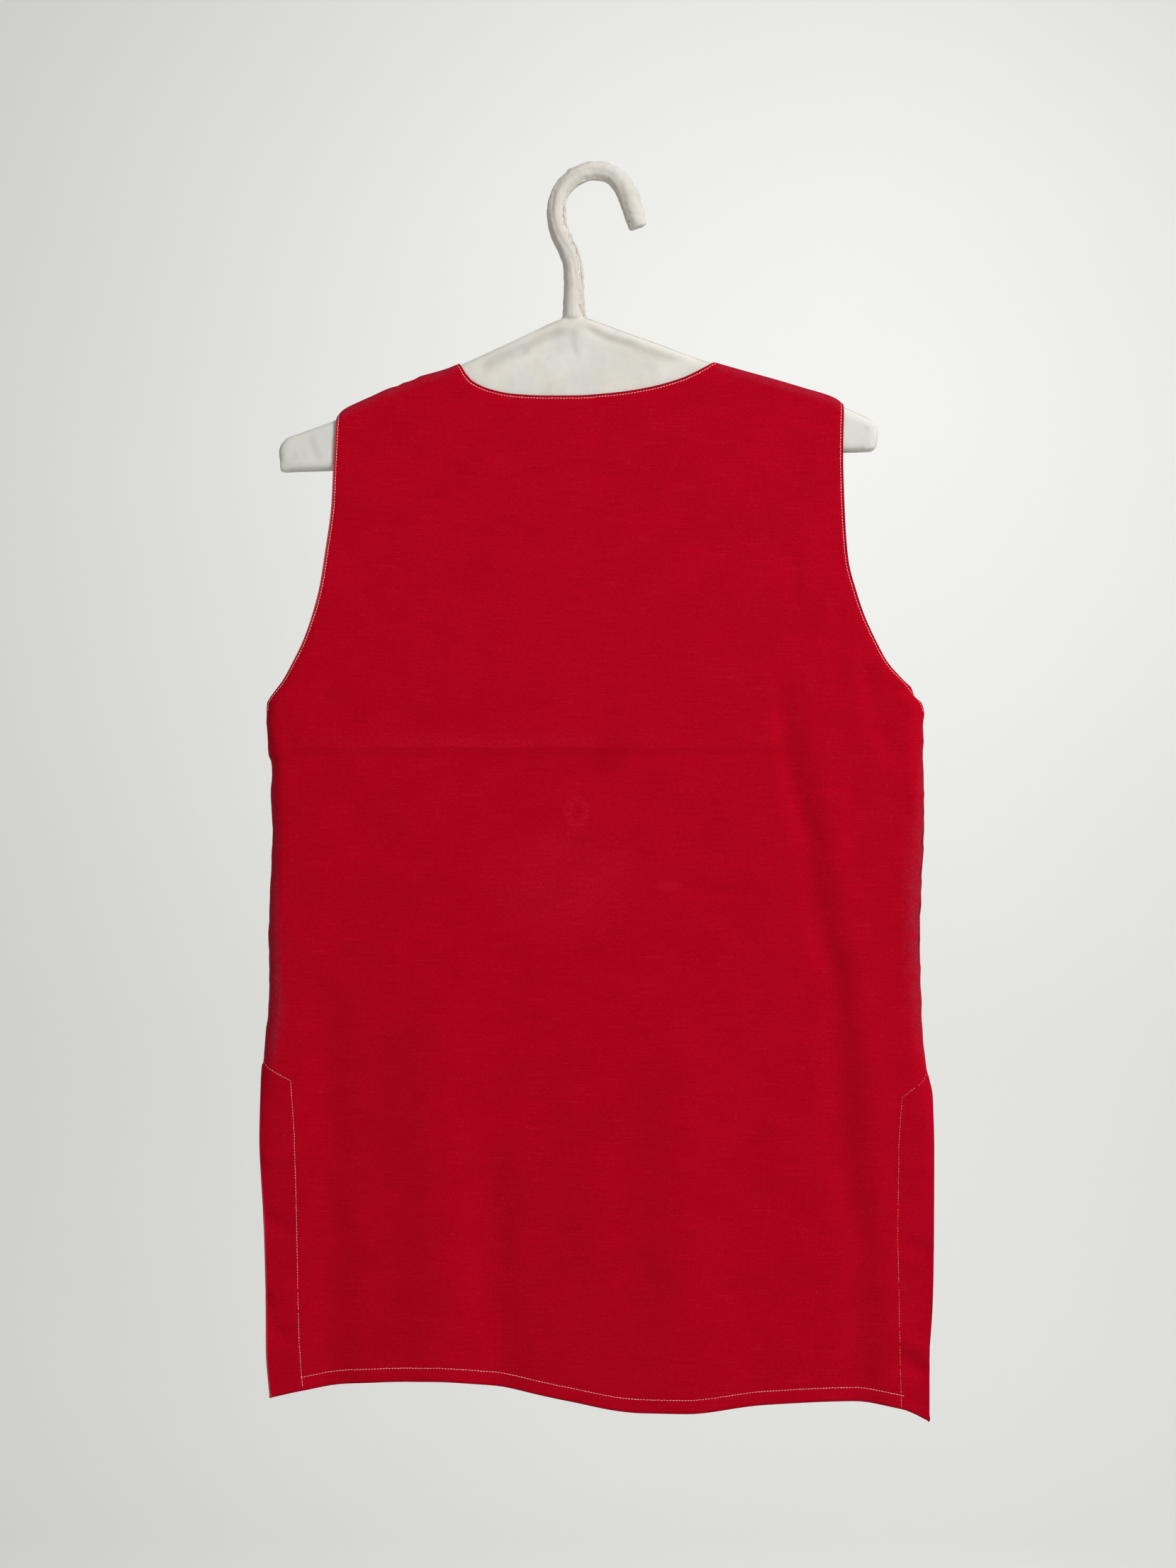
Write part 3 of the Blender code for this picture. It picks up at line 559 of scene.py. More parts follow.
wander = np.array([noise.noise(Vector((k * 0.31, 0.0, 3.1))) for k in range(len(hook_middle))])
shares = np.linspace(0.0, 1.0, len(hook_middle))
seam_line = hook_side(1, -0.0016 + 0.0004 * wander + INNER_FIN * soft((0.5 - shares) / 0.05))
seam_path = np.column_stack([seam_line[:, 0], -0.0023 + 0.0008 * wander, seam_line[:, 1]])
seam_radii = (0.0008 + 0.0006 * soft((0.5 - shares) / 0.1)) * (1.0 + 0.7 * np.roll(wander, 7))
seam_radii[0] = seam_radii[-1] = 0.0004
sleeve_cloth = make_cover_cloth("hook_sleeve_cloth", 0.46)
tube_along("hook_sleeve_seam", seam_path, seam_radii, 8, sleeve_cloth)

cotton_thread, tree, shader = new_finish("hanger_sewing_cotton", 0.8, 0.2, 0.1, (1.0, 1.0, 1.0, 1.0))
twist = speckle(tree, on_piece(tree), 1400.0)
cotton_tone = blend_colours(tree, twist, (0.58, 0.53, 0.45, 1.0), (0.78, 0.73, 0.65, 1.0))
colour_and_bump(tree, shader, cotton_tone, twist, 0.5, 0.0002)

stitch_bead = thread_bead("stitch_bead")
random.seed(11)


def whip(path, radii, outwards, pitch, shortest, longest):
    """Slanted stitches that go over a seam ridge, uneven as hand sewing is."""
    places = []
    even = evenly(np.column_stack([path, radii, outwards]), pitch)
    for k in range(1, len(even) - 1):
        forward = Vector(even[k + 1, :3] - even[k - 1, :3]).normalized()
        outward = Vector((even[k, 4] * 0.5, -1.0, even[k, 5] * 0.5)).normalized()
        across = outward.cross(forward)
        slant = (across + forward * random.uniform(0.35, 0.8)).normalized()
        middle = Vector(even[k, :3]) + outward * even[k, 3] * 0.85
        middle += forward * random.uniform(-0.0004, 0.0004)
        places.append((middle, slant, outward, (random.uniform(shortest, longest), 0.00042, 0.0005)))
    return places


sew("hook_whip_stitches", stitch_bead,
    whip(seam_path, seam_radii, hook_inwards, pitch=0.0031, shortest=0.0018, longest=0.0026),
    cotton_thread)

BACK, FRONT = -1, 1  # the sides of the vest and hanger: the back faces -Y and the front +Y
WELL_CLEAR = 0.2  # further out than any piece, where the looks at its faces start


def face_at(piece, side, x, z):
    """Whether a piece shows at x, z from one side, and if so the place on its face and its normal."""
    seen_from, inwards = Vector((x, side * WELL_CLEAR, z)), Vector((0.0, -side, 0.0))
    return piece.ray_cast(seen_from, inwards)[:3]


# Gathering stitches. They draw the seam's foot together where it turns onto the board.
GATHERS = ((-0.0098, -0.0908), (-0.0090, -0.0945), (-0.0080, -0.0978), (-0.0056, -0.1006))
gathered = []
for x, z in evenly(GATHERS, 0.0011):
    found, spot, normal = face_at(cover, BACK, x, z)
    if found:
        gathered.append((spot + normal * 0.0002, (1.0, 0.5, random.uniform(0.35, 0.8)),
                         (0.5, -1.0, 0.0), (random.uniform(0.0030, 0.0042), 0.0010, 0.0016)))
sew("hook_gathering_stitches", stitch_bead, gathered, cotton_thread)

# Needle holes. They show as dark specks beside the whipped seam, where the needle went through, and
# one more, larger, where the tip of the sleeve is folded in.
needle_holes, tree, shader = new_finish("soiled_needle_holes", 0.95, 0.1, 0.0, (1.0, 1.0, 1.0, 1.0))
hole_tone = blend_colours(tree, speckle(tree, on_piece(tree), 300.0), (0.10, 0.08, 0.06, 1.0),
                          (0.30, 0.26, 0.21, 1.0))
tree.links.new(hole_tone, shader.inputs["Base Color"])
HOLES_FROM, HOLES_TO = 0.08, 0.56  # where they start and end, as shares of the hook's length
HOLE_CHANCE = 0.6
holes = []
hole_line = hook_side(1, -0.0021)
for k in range(int(HOLES_FROM * len(hook_middle)), int(HOLES_TO * len(hook_middle))):
    if random.random() < HOLE_CHANCE:
        x, z = hole_line[k] + np.array([random.gauss(0.0, 0.00025), random.gauss(0.0, 0.0003)])
        found, spot, normal = face_at(cover, BACK, x, z)
        size = random.uniform(0.0004, 0.0009)
        if found:
            along = (hook_steps[k][0], 0.0, hook_steps[k][1])
            holes.append((spot, along, normal, (size, size * 0.8, 0.0002)))
TIP_HOLE = EdgePoint(0.0255, -0.0300)
found, spot, normal = face_at(cover, BACK, TIP_HOLE.x, TIP_HOLE.z)
if found:
    holes.append((spot, (1.0, 0.0, 0.4), normal, (0.0016, 0.0012, 0.0003)))
sew("hook_needle_holes", stitch_bead, holes, needle_holes)

# The cover's own seams. They run along the board's top edges where the two sides of the cover are
# sewn together, so a thin uneven ridge shows beside the hook and at both ends, with hand stitches near the
# hook.

BOARD_SEAM_REACH = {"left": (-0.0250, -0.2235), "right": (-0.0045, 0.2005)}
BOARD_SEAM_THICK = 0.00060
BOARD_STITCHES_REACH = 0.1150  # the seam's stitches show as far out as this
board_seam_cloth = make_cover_cloth("board_seam_cloth", 0.30)
for label, (start, end) in BOARD_SEAM_REACH.items():
    path = []
    for x in np.linspace(start, end, 110):
        y = -0.0024 + 0.0006 * noise.noise(Vector((x * 90.0, 5.0, 1.0)))
        found, spot, normal, _ = cover.ray_cast(Vector((x, y, -0.0870)), Vector((0.0, 0.0, -1.0)))
        if found:
            path.append(spot)
    path = np.array(path)
    radii = BOARD_SEAM_THICK * (1.0 + 0.5 * np.array(
        [noise.noise(Vector((x * 160.0, 9.0, 1.0))) for x in path[:, 0]]))
    radii[0] = radii[-1] = 0.0002
    tube_along(f"board_seam_{label}", path, radii, 6, board_seam_cloth)
    near = np.abs(path[:, 0]) < BOARD_STITCHES_REACH
    upwards = np.tile([0.0, 0.6], (near.sum(), 1))
    whipped = whip(path[near], radii[near], upwards, pitch=0.0030, shortest=0.0010, longest=0.0015)
    sew(f"board_stitches_{label}", stitch_bead, whipped, cotton_thread)


# The vest's back. One piece of fine red plain weave, cut from shoulder to hem, with its neck,
# armholes and hem turned in and sewn down. It lies almost flat over the board, turns round at the
# side seams, and shows the creases of having been folded and pressed with the button under it.

CLOTH = 0.0007  # thickness of the cloth
PLY = 0.0015  # the turned-in layer's far face lies this much inside the outer face
SIDE_ROLL = 0.0120
SHOULDER_ROLL = 0.0070
SEAM_GAP = 0.0003
HEM_TURN = 0.0100
EDGE_TURN = 0.0060

# Level sections from the hem up: height and place of the left and right edge, width of the slit band
# there, half the body's depth, and how far the sides stand open, 0 closed and 1 open.
Section = namedtuple("Section", "z_left left band_left z_right right band_right depth open")
SECTIONS = tuple(Section(*row) for row in (
    (-0.8780, -0.2330, 0.0240, -0.8950, 0.2410, 0.0205, 0.0145, 1.00),
    (-0.8440, -0.2357, 0.0240, -0.8530, 0.2410, 0.0215, 0.0142, 1.00),
    (-0.8100, -0.2360, 0.0233, -0.8120, 0.2433, 0.0244, 0.0138, 1.00),
    (-0.7580, -0.2375, 0.0240, -0.7700, 0.2445, 0.0265, 0.0135, 0.95),
    (-0.6900, -0.2413, 0.0260, -0.6950, 0.2453, 0.0263, 0.0132, 0.75),
    (-0.6499, -0.2408, 0.0228, -0.6632, 0.2449, 0.0235, 0.0131, 0.30),
    (-0.6412, -0.2403, 0.0061, -0.6510, 0.2428, 0.0062, 0.0131, 0.12),
    (-0.6366, -0.2393, 0.0000, -0.6433, 0.2410, 0.0000, 0.0131, 0.00),
    (-0.6150, -0.2375, 0.0000, -0.6200, 0.2383, 0.0000, 0.0132, 0.00),
    (-0.5850, -0.2352, 0.0000, -0.5870, 0.2370, 0.0000, 0.0134, 0.00),
    (-0.5450, -0.2357, 0.0000, -0.5500, 0.2362, 0.0000, 0.0136, 0.00),
    (-0.5000, -0.2340, 0.0000, -0.5050, 0.2375, 0.0000, 0.0135, 0.00),
    (-0.4700, -0.2328, 0.0000, -0.4720, 0.2393, 0.0000, 0.0132, 0.00),
    (-0.4494, -0.2342, 0.0000, -0.4494, 0.2392, 0.0000, 0.0130, 0.00),
    (-0.4264, -0.2332, 0.0000, -0.4280, 0.2388, 0.0000, 0.0128, 0.00),
    (-0.4130, -0.2362, 0.0000, -0.4080, 0.2384, 0.0000, 0.0125, 0.00),
    (-0.3866, -0.2372, 0.0000, -0.3866, 0.2393, 0.0000, 0.0120, 0.00),
    (-0.3795, -0.2370, 0.0000, -0.3795, 0.2378, 0.0000, 0.0119, 0.06),
    (-0.3734, -0.2337, 0.0000, -0.3729, 0.2330, 0.0000, 0.0117, 0.25),
    (-0.3632, -0.2255, 0.0000, -0.3625, 0.2240, 0.0000, 0.0115, 0.50),
    (-0.3509, -0.2184, 0.0000, -0.3500, 0.2125, 0.0000, 0.0112, 0.70),
    (-0.3346, -0.2102, 0.0000, -0.3341, 0.2036, 0.0000, 0.0108, 0.85),
    (-0.3140, -0.2028, 0.0000, -0.3150, 0.1948, 0.0000, 0.0103, 0.95),
    (-0.2963, -0.1980, 0.0000, -0.2980, 0.1890, 0.0000, 0.0099, 1.00),
    (-0.2703, -0.1939, 0.0000, -0.2744, 0.1832, 0.0000, 0.0092, 1.00),
    (-0.2350, -0.1893, 0.0000, -0.2400, 0.1808, 0.0000, 0.0085, 1.00),
    (-0.2020, -0.1878, 0.0000, -0.1980, 0.1797, 0.0000, 0.0083, 1.00),
    (-0.1712, -0.1860, 0.0000, -0.1620, 0.1805, 0.0000, 0.0083, 1.00),
))
SLIT_TOP, PIT, TIPS = 7, 17, 27
TOP_BEND = -0.2600


def edge_line(*places):
    """A line of edge points from pairs of x and z."""
    return tuple(EdgePoint(*place) for place in places)


HEM_LINE = edge_line(
    (-0.2330, -0.8780), (-0.2092, -0.8729), (-0.1724, -0.8678), (-0.1153, -0.8657),
    (-0.0719, -0.8698), (-0.0194, -0.8800), (0.0357, -0.8887), (0.0658, -0.8887),
    (0.1224, -0.8831), (0.1832, -0.8805), (0.2204, -0.8856), (0.2410, -0.8950),
)
SHOULDER_LEFT = edge_line(
    (-0.1860, -0.1712), (-0.1812, -0.1660), (-0.1702, -0.1603), (-0.1606, -0.1560),
    (-0.1462, -0.1497), (-0.1422, -0.1488), (-0.1374, -0.1463), (-0.1310, -0.1446),
    (-0.1272, -0.1422), (-0.1189, -0.1398), (-0.1077, -0.1366), (-0.0975, -0.1326),
)
BOARD_TOP = edge_line((-0.0225, -0.0976), (-0.0056, -0.0976))
SHOULDER_RIGHT = edge_line(
    (0.0873, -0.1316), (0.1074, -0.1373), (0.1294, -0.1434), (0.1520, -0.1501),
    (0.1741, -0.1573), (0.1805, -0.1620),
)
NECKLINE = edge_line(
    (-0.0888, -0.1456), (-0.0735, -0.1528), (-0.0571, -0.1559), (-0.0327, -0.1570),
    (-0.0122, -0.1569), (0.0082, -0.1555), (0.0219, -0.1540), (0.0423, -0.1504),
    (0.0633, -0.1443), (0.0765, -0.1382),
)
NECK_LEFT, NECK_RIGHT = SHOULDER_LEFT[-1], SHOULDER_RIGHT[0]

# The large folds, soft troughs (depth below zero) and ridges from a top down to a bottom, and after
# them the small creases, with the width and height of each, on the back and on the fronts
Fold = namedtuple("Fold", "top_x top_z bottom_x bottom_z bow width depth")
FOLDS = {
    BACK: (
        (0.1300, -0.3250, 0.1950, -0.9300, 0.0150, 0.0110, -0.0013),
        (0.1480, -0.3500, 0.2150, -0.9200, 0.0140, 0.0130, 0.0018),
        (-0.1950, -0.5500, -0.1850, -0.9600, 0.0000, 0.0150, -0.0028),
        (-0.1180, -0.5600, -0.1130, -0.9600, 0.0040, 0.0260, 0.0032),
        (-0.0780, -0.6700, -0.0620, -0.9600, 0.0000, 0.0160, -0.0030),
        (0.0620, -0.5800, 0.0700, -0.9600, -0.0040, 0.0300, 0.0036),
        (0.0080, -0.6600, 0.0000, -0.9600, 0.0000, 0.0220, 0.0016),
    ),
    FRONT: (
        (-0.1500, -0.3300, -0.1900, -0.9300, -0.0120, 0.0160, -0.0036),
        (-0.1000, -0.5200, -0.1150, -0.9600, 0.0050, 0.0260, 0.0030),
        (0.1450, -0.3600, 0.1800, -0.9400, 0.0100, 0.0170, -0.0034),
        (0.0950, -0.5600, 0.1050, -0.9600, 0.0000, 0.0280, 0.0030),
        (0.0350, -0.4900, 0.0500, -0.9600, 0.0040, 0.0200, -0.0020),
    ),
}
FOLD_FADE = 0.0900
CREASES = {
    BACK: (
        (0.1355, -0.3720, 0.1575, -0.4820, 0.0040, -0.0024),
        (0.1535, -0.4680, 0.1790, -0.5900, 0.0068, -0.0017),
        (0.1400, -0.3900, 0.1500, -0.4500, 0.0014, -0.0004),
        (0.1780, -0.5700, 0.1950, -0.7800, 0.0085, -0.0013),
        (0.1444, -0.2673, 0.1475, -0.3091, 0.0045, -0.0009),
        (0.1776, -0.2969, 0.1816, -0.3805, 0.0060, -0.0007),
        (0.1950, -0.3450, 0.2194, -0.4250, 0.0065, -0.0012),
        (0.2130, -0.3640, 0.2370, -0.3790, 0.0018, -0.0010),
        (0.2160, -0.3560, 0.2330, -0.3740, 0.0016, 0.0007),
        (0.2372, -0.4500, 0.2345, -0.5600, 0.0011, -0.0012),
        (0.2345, -0.4550, 0.2315, -0.5550, 0.0015, 0.0008),
        (0.1174, -0.2464, 0.1475, -0.2061, 0.0040, 0.0004),
        (0.0281, -0.4764, 0.0510, -0.4876, 0.0022, 0.0004),
        (0.0620, -0.5110, 0.1280, -0.5130, 0.0030, -0.0005),
        (0.0750, -0.5190, 0.1180, -0.5210, 0.0028, 0.0004),
        (-0.2330, -0.3800, -0.2240, -0.4050, 0.0024, -0.0012),
        (-0.2270, -0.3780, -0.2140, -0.4150, 0.0026, -0.0009),
        (-0.2000, -0.6460, -0.1580, -0.6400, 0.0060, -0.0006),
        (-0.1900, -0.7050, -0.1650, -0.7600, 0.0080, 0.0006),
        (-0.2390, -0.7060, -0.2150, -0.7000, 0.0050, 0.0018),
        (-0.2380, -0.7480, -0.2160, -0.7560, 0.0055, -0.0020),
        (-0.2340, -0.8050, -0.2140, -0.7960, 0.0055, 0.0022),
        (-0.2330, -0.8300, -0.2160, -0.8330, 0.0050, -0.0020),
        (0.2190, -0.7150, 0.2430, -0.7090, 0.0050, 0.0017),
        (0.2190, -0.7650, 0.2420, -0.7730, 0.0055, -0.0019),
        (0.2190, -0.8340, 0.2400, -0.8430, 0.0052, 0.0023),
        (0.2190, -0.8480, 0.2390, -0.8600, 0.0050, -0.0021),
        (-0.1500, -0.4800, -0.0900, -0.4960, 0.0090, -0.0005),
        (-0.0400, -0.3350, 0.0450, -0.3500, 0.0120, -0.0005),
        (-0.1300, -0.2500, -0.0700, -0.2750, 0.0120, 0.0005),
        (0.0500, -0.2300, 0.0900, -0.2700, 0.0110, -0.0004),
    ),
    FRONT: (
        (-0.1750, -0.2900, -0.1600, -0.3900, 0.0060, -0.0009),
        (0.1700, -0.3000, 0.1580, -0.3900, 0.0060, -0.0009),
        (-0.0120, -0.4680, 0.0550, -0.4900, 0.0060, 0.0008),
        (-0.0150, -0.4680, -0.0850, -0.5000, 0.0070, 0.0008),
        (-0.2000, -0.5200, -0.1200, -0.5350, 0.0080, -0.0006),
        (0.1000, -0.4300, 0.1900, -0.4100, 0.0080, 0.0006),
        (-0.2280, -0.7300, -0.2120, -0.7350, 0.0030, 0.0006),
        (0.2180, -0.7500, 0.2350, -0.7440, 0.0030, -0.0006),
    ),
}
PRESS_LINE = -0.4112  # height of the pressed fold across the back
PRESS_STEP = 0.00022
sections = np.array(SECTIONS)


def quarter(share):
    """Height of a quarter circle of size 1 at this share of its width."""
    return np.sqrt(np.maximum(1.0 - (1.0 - np.clip(share, 0.0, 1.0)) ** 2, 0.0))


def line_height(line, x):
    """Height of an edge line at x."""
    return eased(x, [point.x for point in line], [point.z for point in line])


def shoulder_height(x):
    """Height of the shoulders, and between them of the board's top, at x."""
    left = line_height(SHOULDER_LEFT, np.minimum(x, NECK_LEFT.x))
    right = line_height(SHOULDER_RIGHT, np.maximum(x, NECK_RIGHT.x))
    board_line = (NECK_LEFT, *BOARD_TOP, NECK_RIGHT)
    middle = np.interp(x, [point.x for point in board_line], [point.z for point in board_line])
    return np.where(x <= NECK_LEFT.x, left, np.where(x >= NECK_RIGHT.x, right, middle))


def back_top_height(x):
    """Height of the back's top edge at x: shoulder, neckline, shoulder."""
    corners = (NECK_LEFT, *NECKLINE, NECK_RIGHT)
    neck = line_height(corners, np.clip(x, NECK_LEFT.x, NECK_RIGHT.x))
    inside = (x > NECK_LEFT.x) & (x < NECK_RIGHT.x)
    return np.where(inside, neck, shoulder_height(x))


def section_at(t, shift=0.0):
    """The vest's section at a row number, between rows too, or shifted up from the first or last row."""
    rows = np.arange(len(sections))
    s = Section(*(eased(t, rows, sections[:, column]) for column in range(sections.shape[1])))
    first, last = SECTIONS[1].z_left - SECTIONS[0].z_left, SECTIONS[-1].z_left - SECTIONS[-2].z_left
    edge_at = t + np.where(t < 1.0, shift / first, shift / last)
    return s._replace(left=eased(edge_at, rows, sections[:, 1]), right=eased(edge_at, rows, sections[:, 4]))


def height_at(s, x, top_height):
    """Height of a section at x, bent down to the hem near it and up to the top edge above the armholes."""
    def level(row):
        share = (x - row.left) / (row.right - row.left)
        return row.z_left + (row.z_right - row.z_left) * share

    low, high = SECTIONS[0], SECTIONS[TIPS]
    plain = level(s)
    slit_top = SECTIONS[SLIT_TOP].z_left
    hem_share = soft((slit_top - plain) / (slit_top - level(low)))
    hem_rise = line_height(HEM_LINE, x) - level(low)
    top_share = np.maximum((plain - TOP_BEND) / (level(high) - TOP_BEND), 0.0)
    return plain + hem_rise * hem_share + (top_height(x) - level(high)) * top_share


def relief(side, x, z):
    """How far folds and creases lift the cloth off its plain form."""
    total = np.zeros_like(x)
    for fold in (Fold(*row) for row in FOLDS[side]):
        along = (fold.top_z - z) / (fold.top_z - fold.bottom_z)
        middle = fold.top_x + (fold.bottom_x - fold.top_x) * along
        middle = middle + fold.bow * np.sin(math.pi * along)
        strength = soft((fold.top_z - z) / FOLD_FADE)
        total += fold.depth * strength * np.exp(-(((x - middle) / fold.width) ** 2))
    for row in CREASES[side]:
        total += crease_height(Crease(*row), x, z)
    if side == BACK:
        step = np.tanh((z - PRESS_LINE) / 0.0016) * np.exp(-np.abs(z - PRESS_LINE) / 0.012)
        reach = soft((x + 0.225) / 0.06) * soft((0.140 - x) / 0.10)
        total += PRESS_STEP * step * reach
    return total


def slack(x, y, z):
    """Uneven slack of unstarched cloth: slow swells and short weft-wise ripples."""
    swell = np.empty_like(x)
    for place in np.ndindex(x.shape):
        at = Vector((x[place], y * 3.0, z[place]))
        swell[place] = (0.00050 * noise.noise(at * 17.0) + 0.00022 * noise.noise(at * 46.0)
                        + 0.00010 * noise.noise(Vector((at.x * 60.0, at.y, at.z * 210.0))))
    return swell


def outer_depth(side, s, x, z):
    """Distance of the cloth's outer face from the middle plane."""
    inset = np.minimum(x - s.left, s.right - x)
    rolled = quarter(inset / SIDE_ROLL)
    share = rolled + (1.0 - rolled) * s.open
    over_board = quarter((shoulder_height(x) - z) / SHOULDER_ROLL)
    away_from_seam = soft(inset / SIDE_ROLL + s.open)
    plain = s.depth * np.minimum(share, over_board)
    return np.maximum(plain + relief(side, x, z) * away_from_seam, SEAM_GAP / 2)


def uneven(edge, z):
    """Small waves of the rolled side seams."""
    wave = np.array([noise.noise(Vector((edge * 3.0, 0.0, height * 85.0))) for height in np.ravel(z)])
    short = np.array([noise.noise(Vector((edge * 3.0, 5.0, height * 210.0))) for height in np.ravel(z)])
    waves = (0.00075 * wave + 0.00035 * short).reshape(np.shape(z))
    waves = waves * soft((-0.3750 - z) / 0.02) * soft((z + 0.6500) / 0.02)
    if edge > 0:  # the armhole's hem stands up a little where it meets the side seam
        waves = waves + 0.0015 * np.exp(-(((z + 0.3685) / 0.0026) ** 2))
        waves = waves - 0.0017 * np.exp(-(((z + 0.3740) / 0.0018) ** 2))
    return waves


# A turned-in edge as steps from the sewn layer's end round the fold: how far in from the edge, and
# how far inside the outer face. Topstitching draws the cloth in along a line beside the edge.
Turn = namedtuple("Turn", "inset inside")
HALF_PLY = PLY / 2
FOLD_ROUND = (
    Turn(HALF_PLY, PLY),
    Turn(HALF_PLY * 0.29, HALF_PLY * 1.71),
    Turn(0.0, HALF_PLY),
    Turn(HALF_PLY * 0.29, HALF_PLY * 0.29),
)
STITCH_INSET = 0.0021
STITCH_DIP = 0.00022
HEM_ROWS = 3.0  # below this row number the hem draws the cloth in
BESIDE_EDGE = (HALF_PLY, 0.0015, STITCH_INSET, 0.0027, 0.0034, 0.0043, 0.0055, 0.0072, 0.0095, SIDE_ROLL)
COLUMN_STEP = 0.0042
ROW_STEP = 0.0042


def edge_turns(depth):
    """The steps of a turned-in edge of this depth, from its raw end to the fold."""
    return (Turn(depth, PLY), Turn(depth * 0.55, PLY), Turn(HALF_PLY * 2, PLY), *FOLD_ROUND)


def column_plan(width, corners, turn_left, turn_right):
    """Columns of a panel as shares of its left and right edge, offset, depth inside, and turned mark."""
    plan = []
    for turn in edge_turns(turn_left):
        plan.append((1.0, 0.0, turn.inset, turn.inside, 1.0))
    for inset in BESIDE_EDGE:
        plan.append((1.0, 0.0, inset, 0.0, 0.0))
    span = width - 2 * SIDE_ROLL
    marks = [0.0, *sorted((corner - SIDE_ROLL) / span for corner in corners), 1.0]
    shares = []
    for here, after in zip(marks, marks[1:]):
        count = max(int(math.ceil((after - here) * span / COLUMN_STEP)), 1)
        shares += [here + (after - here) * step / count for step in range(count)]
    for share in shares[1:]:
        plan.append((1.0 - share, share, SIDE_ROLL * (1.0 - 2.0 * share), 0.0, 0.0))
    for inset in reversed(BESIDE_EDGE):
        plan.append((0.0, 1.0, -inset, 0.0, 0.0))
    for turn in reversed(edge_turns(turn_right)):
        plan.append((0.0, 1.0, -turn.inset, turn.inside, -1.0))
    return np.array(plan)


def row_plan():
    """Rows of a panel as row number, shift along the edge, depth inside, and turned mark."""
    plan = [(0.0, turn.inset, turn.inside, 1.0) for turn in edge_turns(HEM_TURN)]
    plan += [(0.0, shift, 0.0, 0.0) for shift in (HALF_PLY, 0.0025, 0.0055, 0.0085)]
    plan += [(0.0, HEM_TURN, 0.0, 0.0), (0.0, HEM_TURN + 0.0018, 0.0, 0.0)]
    first = (HEM_TURN + 0.0045) / (SECTIONS[1].z_left - SECTIONS[0].z_left)
    last = TIPS - 0.42
    at = [first]
    while at[-1] < last:
        row = int(at[-1])
        rise = max(SECTIONS[row + 1].z_left - SECTIONS[row].z_left, 0.004)
        at.append(at[-1] + ROW_STEP / rise)
    plan += [(t, 0.0, 0.0, 0.0) for t in at[:-1]]
    drops = (0.0095, 0.0075, 0.0058, 0.0042, 0.0032, STITCH_INSET, 0.0015, HALF_PLY)
    plan += [(float(TIPS), -drop, 0.0, 0.0) for drop in drops]
    plan += [(float(TIPS), -turn.inset, turn.inside, -1.0) for turn in reversed(edge_turns(EDGE_TURN))]
    return np.array(plan)


def band_edge(x, z):
    """How far a place lies outside the slit bands' inner edges, which run straight from row to row."""
    corners = SECTIONS[:SLIT_TOP + 1]
    inner_left = np.interp(z, [row.z_left for row in corners],
                           [row.left + row.band_left for row in corners])
    inner_right = np.interp(z, [row.z_right for row in corners],
                            [row.right - row.band_right for row in corners])
    outside = np.maximum(inner_left - x, x - inner_right)
    return np.where(z < SECTIONS[SLIT_TOP].z_left, outside, -1.0)


def rubbed_and_sheen_strips(x, z, left, right, from_top, seams):
    """Where the cloth is rubbed grey, with a painted grey sheen: below the shoulder seams and along the
    side seams.
    """
    shoulder = soft((0.0100 - from_top) / 0.0075) * ((x < NECK_LEFT.x) | (x > NECK_RIGHT.x))
    down = [0.38, 0.44, 0.50, 0.60, 0.65]
    left_width = np.interp(-z, down, [0.0040, 0.0055, 0.0080, 0.0130, 0.0130])
    right_width = np.interp(-z, down, [0.0030, 0.0080, 0.0160, 0.0120, 0.0030])
    strip_left = soft((left_width - (x - left)) / 0.0060 + 0.2) * seams[0]
    strip_right = soft((right_width - (right - x)) / 0.0160 + 0.2) * seams[1]
    reach = soft((-0.3780 - z) / 0.025) * soft((z + 0.6450) / 0.02)
    return np.maximum(shoulder * 0.9, np.maximum(strip_left, strip_right) * reach)


